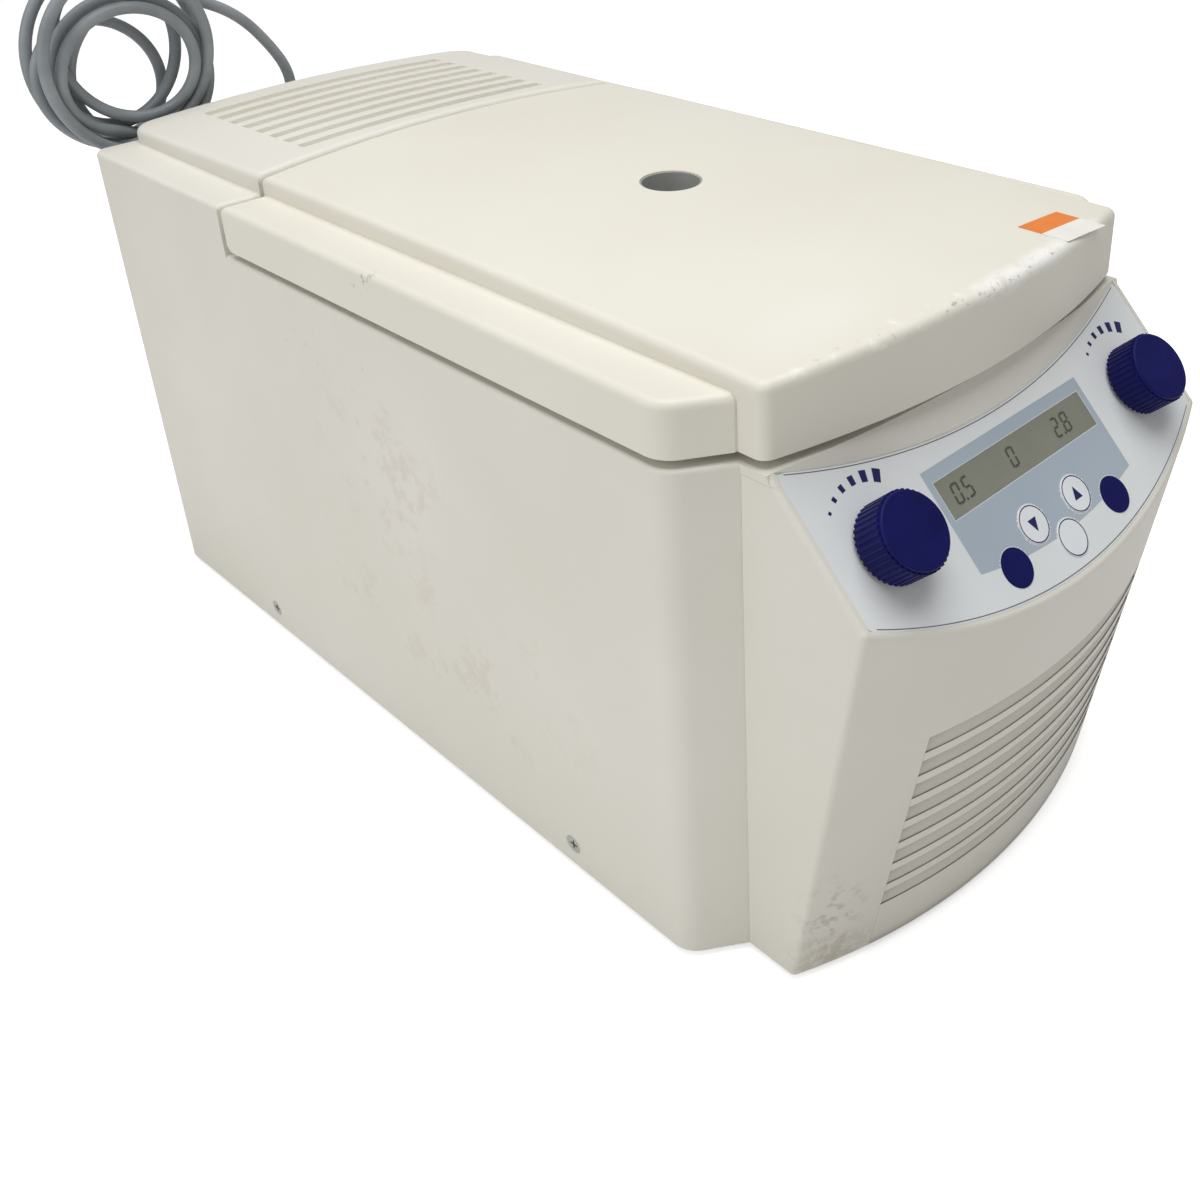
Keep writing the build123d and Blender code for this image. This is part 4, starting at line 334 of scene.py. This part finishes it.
# painted shade: the hollows between the grille's louvres are darkened by ambient occlusion
grille_abs = finish(
    "grille_abs_with_painted_shade", "#E8E6DD", "#E2DFD5", 0.46, mottle=140, grain=GRAIN_MM, depth=0.05,
)
add_painted_hollow_shade(grille_abs, "#544C43", 14, 1.0)
lid_abs = finish("lid_yellowed_abs", "#E9E6DB", "#E4E0D4", 0.44, mottle=150, grain=GRAIN_MM, depth=0.05)
EDGE_Y, EDGE_BOW, EDGE_HALF, EDGE_Z = -238.5, 16.6, 120, 291     # the lid's bowed front edge, mm
WORN_LEFT, WORN_RIGHT = 0.46, 0.62
for edge_x in (-95, -60, -25, 10, 45, 80):
    edge_y = EDGE_Y - EDGE_BOW * (1 - (edge_x / EDGE_HALF) ** 2)
    worn = WORN_LEFT if edge_x < 0 else WORN_RIGHT
    add_marks(lid_abs, "#F9F8F5", (edge_x, edge_y + 2, EDGE_Z), (30, 9, 6), 7, worn, 0.85)
    add_marks(lid_abs, "#7E776C", (edge_x, edge_y + 1, EDGE_Z), (30, 5, 4), 3.5, 0.43, 0.7)
add_marks(lid_abs, "#A5746A", (-98, -248, 276), (26, 10, 12), 4, 0.36, 0.55)
add_marks(lid_abs, "#7E776C", (-143, -20, 276), (6, 14, 9), 5, 0.44, 0.65)
# a broad, soft, lighter patch on the lid's top near its front left
add_marks(lid_abs, "#F5F3EC", (-77, -222, 292), (44, 24, 12), 120, 0.75, 0.22)

# %% Other finishes
FINISHES = {
    "housing_plastic": housing_abs,
    "lid_plastic": lid_abs,
    # thermoformed inner lid: white ABS, smooth and a little glossy
    "liner_plastic": finish(
        "liner_formed_abs", "#E4E2DA", "#DAD7CC", 0.34, mottle=80, grain=1.4, depth=0.02,
    ),
    # galvanised sheet: grey zinc with a spangle of centimetre crystals
    "galvanised_steel": finish(
        "galvanised_sheet", "#B9BDC0", "#8F9599", 0.42, 0.9, mottle=9, grain=2.0,
    ),
    "black_rubber": finish(
        "moulded_black_rubber", "#262627", "#1A1A1B", 0.72, mottle=20, grain=0.8, depth=0.06,
    ),
    "grey_rubber": finish("moulded_grey_silicone", "#8B8E90", "#787B7D", 0.60, mottle=25, grain=0.9),
    # PVC sheath of the lead: mid grey, satin, with handling grime
    "cord_grey": finish(
        "pvc_sheath_grey", "#969CA1", "#7E8489", 0.42, mottle=30, grain=1.2, depth=0.03,
    ),
    "bright_steel": finish(
        "turned_bright_steel", "#C6C7C6", "#A9ABAB", 0.24, 1.0, mottle=12, grain=0.5, depth=0.01,
    ),
    "foam": finish(
        "cast_polyurethane_foam", "#D8C48F", "#C4AC73", 0.85, mottle=18, grain=1.6, depth=0.3,
    ),
    "copper": finish(
        "drawn_copper_tube", "#C9825B", "#9C5B3C", 0.30, 1.0, mottle=14, grain=0.8, depth=0.01,
    ),
    "nickel_brass": finish(
        "nickel_plated_brass", "#CFCBBF", "#B5B0A2", 0.22, 1.0, mottle=10, grain=0.5, depth=0.01,
    ),
    "enamelled_iron": finish(
        "black_enamelled_iron", "#2B2C2E", "#1D1E20", 0.36, mottle=30, grain=1.5, depth=0.04,
    ),
    "anodised_aluminium": finish(
        "anodised_aluminium_turned", "#6E7276", "#5E6266", 0.34, 0.9, mottle=25, grain=0.5,
    ),
    "plain_aluminium": finish(
        "mill_finish_aluminium", "#BFC2C4", "#A4A8AA", 0.36, 1.0, mottle=16, grain=0.7, stretch=(1, 12, 1),
    ),
    "black_plastic": finish(
        "black_moulded_nylon", "#232426", "#1A1B1D", 0.44, mottle=25, grain=0.8, depth=0.04,
    ),
    # polyester film, printed on its back: cool white, satin
    "printed_film": finish(
        "printed_polyester_film", "#E8EBED", "#E1E5E7", 0.34, mottle=70, grain=1.1, depth=0.015,
    ),
    "board_green": finish(
        "solder_masked_board", "#2E6B45", "#1F5335", 0.38, mottle=8, grain=1.5, depth=0.03,
    ),
    # knobs and keys: dyed ABS with a matte grain
    "navy_plastic": finish(
        "navy_dyed_abs", "#16185C", "#111350", 0.42, mottle=12, grain=0.7, depth=0.05, shine=0.12,
    ),
    "white_plastic": finish(
        "white_key_film", "#EDF0F3", "#E2E6EA", 0.34, mottle=30, grain=1.0, depth=0.015,
    ),
}
# pale grey tube that leads from the lid's sight hole down to its window
FINISHES["sight_tube"] = finish(
    "sight_tube_abs", "#A9ABA7", "#9EA09C", 0.5, mottle=25, grain=0.9, depth=0.03,
)
FINISHES["grille"] = grille_abs
BY_NODE = {"display_window": "display_glass", "viewport_tube": "sight_tube", "front_grille": "grille"}

# %% Windows
# acrylic disc at the foot of the sight tube: pale and nearly clear
acrylic = finish("sight_hole_acrylic", "#DCDDD8", "#CFD0CB", 0.12, mottle=20, grain=2.0, depth=0.005)
ACRYLIC_ALPHA = 0.8
surface_of(acrylic).inputs["Alpha"].default_value = ACRYLIC_ALPHA
FINISHES["clear_window"] = acrylic
# reflective liquid crystal: its grey-green is given to the window too, as it looks from outside
FINISHES["display_glass"] = finish(
    "liquid_crystal_glass", "#8E9085", "#84867B", 0.2, mottle=45, grain=3.0, depth=0.003, shine=0.3,
)

# %% Every solid takes the finish of its slot
for name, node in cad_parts.items():
    for material_slot in node.material_slots:
        slot_name = material_slot.material.name.split(".")[0]
        material_slot.material = FINISHES[BY_NODE.get(name, slot_name)]
mains_lead.data.materials.append(FINISHES["cord_grey"])

# %% [markdown]
# ## Print on the panel
# The panel is a screen-printed film. Its print is modelled as ink films a few hundredths of a
# millimetre thick, laid out in the panel's own plane: x across, s down the slope from its top edge.
# A thin line of painted shade along the step round the label's edges is laid out the same way.

# %% From the panel's plane to the object
SLOPE = math.radians(46.3)
PANEL_TOP = Vector((0, -0.2414, 0.2528))
UP_SLOPE = Vector((0, math.cos(SLOPE), math.sin(SLOPE)))
OUTWARD = Vector((0, -math.sin(SLOPE), math.cos(SLOPE)))


def on_panel(x, s, out):
    """a place from its millimetres across, down the slope and out of the panel"""
    return PANEL_TOP + Vector((x / 1000, 0, 0)) - UP_SLOPE * (s / 1000) + OUTWARD * (out / 1000)


def film(name, outline, out, thick, material, body):
    """a thin film with this outline, standing on the panel: a filled ring of points, pushed out"""
    bpy.ops.object.select_all(action="DESELECT")
    bpy.ops.mesh.primitive_circle_add(vertices=len(outline), radius=0.01, fill_type="NGON")
    piece = bpy.context.object
    piece.name = piece.data.name = name
    for vertex, (x, s) in zip(piece.data.vertices, outline):
        vertex.co = on_panel(x, s, out)
    bpy.ops.object.mode_set(mode="EDIT")
    bpy.ops.mesh.select_all(action="SELECT")
    bpy.ops.mesh.extrude_region_move(TRANSFORM_OT_translate={"value": OUTWARD * (thick / 1000)})
    bpy.ops.mesh.select_all(action="SELECT")
    bpy.ops.mesh.normals_make_consistent(inside=False)
    bpy.ops.object.mode_set(mode="OBJECT")
    piece.data.materials.append(material)
    if body:
        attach(piece, body)
    return piece


def joined(name, parts, body):
    """several films as one piece"""
    bpy.ops.object.select_all(action="DESELECT")
    for part in parts:
        part.select_set(True)
    bpy.context.view_layer.objects.active = parts[0]
    bpy.ops.object.join()
    parts[0].name = parts[0].data.name = name
    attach(parts[0], body)


def arc(x, s, radius, start, end, count):
    """points on a circle in the panel's plane, angles clockwise from straight up"""
    angles = [math.radians(start + (end - start) * i / (count - 1)) for i in range(count)]
    return [(x + radius * math.sin(a), s - radius * math.cos(a)) for a in angles]


# %% Grey-blue field round the display and the keys
FILM_TOP, INK = -0.1, 0.03     # the label's face lies 0.1 mm below the panel's, and the ink's thickness
field_ink = finish("grey_blue_screen_ink", "#AFBCC8", "#A8B5C2", 0.36, mottle=60, grain=1.0, depth=0.01)
# painted shade: grey for the thin line along the step round the label's edges
step_shade_paint = finish("grey_painted_step_shade", "#6F7377", "#66696D", 0.36, mottle=10, grain=1.0, depth=0.01)
navy_ink = finish("navy_screen_ink", "#191B62", "#141657", 0.36, mottle=10, grain=1.0, depth=0.01)
KEYS = {
    "key_short": (-36.7, 78.9), "key_down": (-15.7, 69.1), "key_fast": (0.0, 82.6),
    "key_up": (15.7, 69.1), "key_open": (36.7, 78.9),
}
KEY_R, KNOB_X, KNOB_S = 8.3, 88.5, 43.6
FIELD_X, FIELD_S, WINDOW_X = 55.4, 28.1, 52.2      # half widths, and where the field starts
WINDOW_FROM, WINDOW_TO = 33.6, 50.8
FIELD_END, FIELD_BOW, BOW_X = 79.3, 6.4, 55.0      # the field's lower edge is bowed
HOLE_R = KEY_R + 0.5


def field_strip(x0, x1, s0, s1):
    """a rectangle of the field's ink"""
    return film("field", [(x0, s0), (x1, s0), (x1, s1), (x0, s1)], FILM_TOP, INK, field_ink, None)


field_parts = [
    field_strip(-FIELD_X, FIELD_X, FIELD_S, WINDOW_FROM),
    field_strip(-FIELD_X, -WINDOW_X, WINDOW_FROM, WINDOW_TO),
    field_strip(WINDOW_X, FIELD_X, WINDOW_FROM, WINDOW_TO),
]
COLUMNS, THINNEST = 110, 0.05
for i in range(COLUMNS):
    x0, x1 = (-FIELD_X + 2 * FIELD_X * j / COLUMNS for j in (i, i + 1))
    x = (x0 + x1) / 2
    spans = [(WINDOW_TO, FIELD_END - FIELD_BOW * (x / BOW_X) ** 2)]
    for kx, ks in KEYS.values():
        if abs(x - kx) < HOLE_R:
            half = math.sqrt(HOLE_R ** 2 - (x - kx) ** 2)
            cut = []
            for a, b in spans:
                cut += [(a, min(b, ks - half))] if a < ks - half else []
                cut += [(max(a, ks + half), b)] if b > ks + half else []
            spans = cut
    for a, b in spans:
        if b - a > THINNEST:
            field_parts.append(field_strip(x0, x1, a, b))
print("field strips", len(field_parts))
joined("panel_field", field_parts, "machine")

# %% Thin dark line inside the label's bowed top and bottom edges: painted shade of the step round the label
LABEL_X, LINE_IN, LINE_WIDE, LINE_STEPS = 114.0, 0.8, 0.45, 60
LABEL_END_X = 117.4


def bow(x, end_s, rise):
    """s of a circular edge: end_s at the label's ends, rise further down at the middle"""
    radius = (LABEL_END_X ** 2 + rise ** 2) / (2 * rise)
    return end_s + math.sqrt(radius ** 2 - x ** 2) - (radius - rise)


edge_parts = []
for end_s, rise, inward in ((0.0, 21.4, 1), (65.6, 30.1, -1)):
    for i in range(LINE_STEPS):
        x0, x1 = (-LABEL_X + 2 * LABEL_X * j / LINE_STEPS for j in (i, i + 1))
        near0, near1 = (bow(x, end_s, rise) + inward * LINE_IN for x in (x0, x1))
        far0, far1 = (s + inward * LINE_WIDE for s in (near0, near1))
        ring = [(x0, near0), (x1, near1), (x1, far1), (x0, far0)]
        edge_parts.append(film("line", ring, FILM_TOP, INK, step_shade_paint, None))
joined("label_edge_painted_shade", edge_parts, "machine")

# %% Growing blocks round each knob
# angles are in degrees from straight up, and each block is larger and nearer than the last
BLOCKS, FIRST_BLOCK, BLOCK_STEP = 6, -38.0, 13.5
HALF_ANGLE, HALF_ANGLE_GROWS = 1.6, 0.45
HALF_DEPTH, HALF_DEPTH_GROWS = 0.7, 0.42
SCALE_R, SCALE_R_SHRINKS = 25.6, 0.2
blocks = []
for knob_x in (-KNOB_X, KNOB_X):
    for i in range(BLOCKS):
        middle = FIRST_BLOCK + BLOCK_STEP * i
        half_angle = HALF_ANGLE + HALF_ANGLE_GROWS * i
        reach = HALF_DEPTH + HALF_DEPTH_GROWS * i
        inner = SCALE_R - SCALE_R_SHRINKS * i
        outer = SCALE_R + 2 * reach - SCALE_R_SHRINKS * i
        ring = arc(knob_x, KNOB_S, outer, middle - half_angle, middle + half_angle, 4)
        ring += reversed(arc(knob_x, KNOB_S, inner, middle - half_angle, middle + half_angle, 4))
        blocks.append(film("block", ring, FILM_TOP, INK, navy_ink, None))
joined("knob_scales", blocks, "machine")

# %% Marks on the keys
KEY_TOP = 0.3
ARROW_TIP, ARROW_FOOT, ARROW_HALF = 3.4, 2.4, 2.7
RIM_OUTER, RIM_INNER, RIM_STEPS = 8.0, 7.5, 48
for key, turn_up in (("key_up", 1), ("key_down", -1)):
    kx, ks = KEYS[key]
    foot_s = ks + turn_up * ARROW_FOOT
    points = [(kx, ks - turn_up * ARROW_TIP), (kx + ARROW_HALF, foot_s), (kx - ARROW_HALF, foot_s)]
    mark = film(f"{key}_arrow", points, KEY_TOP, INK, navy_ink, f"{key}_cap")
for key in ("key_up", "key_down", "key_fast"):
    kx, ks = KEYS[key]
    pieces = []
    outer = arc(kx, ks, RIM_OUTER, 0, 360, RIM_STEPS + 1)
    inner = arc(kx, ks, RIM_INNER, 0, 360, RIM_STEPS + 1)
    for i in range(RIM_STEPS):
        ring = [outer[i], outer[i + 1], inner[i + 1], inner[i]]
        pieces.append(film("rim", ring, KEY_TOP, INK, navy_ink, None))
    joined(f"{key}_ring", pieces, f"{key}_cap")

# %% [markdown]
# ## Display
# The display is switched on: each figure is made of up to seven bars of dark liquid crystal.

# %% Seven-bar figures
crystal = finish("dark_liquid_crystal", "#5C5B50", "#545349", 0.2, mottle=10, grain=2.0, depth=0.003)
BARS = {
    "0": "abcdef", "5": "acdfg", "2": "abdeg", "8": "abcdefg",
}
DISPLAY_TOP = 0.02
DIGIT_HIGH, DIGIT_S, DIGIT_LEAN = 9, 37.6, 0.08
DIGIT_WIDE, DIGIT_BAR = 0.52, 0.11     # shares of the height
DOT_S, DOT_SIDE = 45.6, 1


def figure(sign, x, s, high):
    """one figure, its upper left corner at x, s"""
    wide, bar = high * DIGIT_WIDE, high * DIGIT_BAR
    half = high / 2
    boxes = {
        "a": (bar, 0, wide - bar, bar), "g": (bar, half - bar / 2, wide - bar, half + bar / 2),
        "d": (bar, high - bar, wide - bar, high), "f": (0, bar / 2, bar, half - bar / 2),
        "b": (wide - bar, bar / 2, wide, half - bar / 2), "e": (0, half + bar / 2, bar, high - bar / 2),
        "c": (wide - bar, half + bar / 2, wide, high - bar / 2),
    }
    made = []
    for bar_name in BARS[sign]:
        x0, s0, x1, s1 = boxes[bar_name]
        corners = [(x0, s0), (x1, s0), (x1, s1), (x0, s1)]
        ring = [(x + a + DIGIT_LEAN * (high - b), s + b) for a, b in corners]
        made.append(film("bar", ring, DISPLAY_TOP, INK, crystal, None))
    return made


digits = []
for sign, x in (("0", -46), ("5", -39), ("0", -8), ("2", 25), ("8", 32)):
    digits += figure(sign, x, DIGIT_S, DIGIT_HIGH)
for x in (-40.3, 30.7):
    x1, s1 = x + DOT_SIDE, DOT_S + DOT_SIDE
    ring = [(x, DOT_S), (x1, DOT_S), (x1, s1), (x, s1)]
    digits.append(film("dot", ring, DISPLAY_TOP, INK, crystal, None))
joined("display_digits", digits, "machine")

# %% [markdown]
# ## Sticker
# A small paper sticker near the lid's right front corner: an orange band above a blank white field.

# %% Paper sticker
orange_paper = finish(
    "orange_coated_paper", "#EE8A3C", "#E67F30", 0.5, mottle=20, grain=0.8, depth=0.01,
)
white_paper = finish("white_coated_paper", "#F2F1EC", "#E9E7E0", 0.5, mottle=20, grain=0.8, depth=0.01)


CROWN_TOP, CROWN_Y, CROWN_R_ACROSS, CROWN_R_ALONG = 295.0, 13.4, 1425.0, 12500.0
PAPER_GAP, PAPER_THICK = 0.06, 0.00008     # mm above the crown, and metres of thickness


def crown_z(x, y):
    """height of the lid's crowned top in mm"""
    across = CROWN_R_ACROSS - math.sqrt(CROWN_R_ACROSS ** 2 - x ** 2)
    along = (y - CROWN_Y) ** 2 / (2 * CROWN_R_ALONG)
    return CROWN_TOP - across - along


def sticker(name, x0, x1, y0, y1, material):
    """a slip of paper that lies on the crown"""
    bpy.ops.object.select_all(action="DESELECT")
    bpy.ops.mesh.primitive_grid_add(x_subdivisions=12, y_subdivisions=8, size=1)
    piece = bpy.context.object
    piece.name = piece.data.name = name
    for vertex in piece.data.vertices:
        x = x0 + (x1 - x0) * (vertex.co.x + 0.5)
        y = y0 + (y1 - y0) * (vertex.co.y + 0.5)
        vertex.co = (x / 1000, y / 1000, (crown_z(x, y) + PAPER_GAP) / 1000)
    bpy.ops.object.mode_set(mode="EDIT")
    bpy.ops.mesh.select_all(action="SELECT")
    bpy.ops.mesh.extrude_region_move(TRANSFORM_OT_translate={"value": (0, 0, PAPER_THICK)})
    bpy.ops.mesh.select_all(action="SELECT")
    bpy.ops.mesh.normals_make_consistent(inside=False)
    bpy.ops.object.mode_set(mode="OBJECT")
    piece.data.materials.append(material)
    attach(piece, "lid")


LEFT, RIGHT, FRONT, FOLD, BACK = 60, 91, -249, -236, -224
sticker("sticker_white", LEFT, RIGHT, FRONT, FOLD, white_paper)
sticker("sticker_orange", LEFT, RIGHT, FOLD, BACK, orange_paper)

# %% Deselect everything
bpy.ops.object.select_all(action="DESELECT")
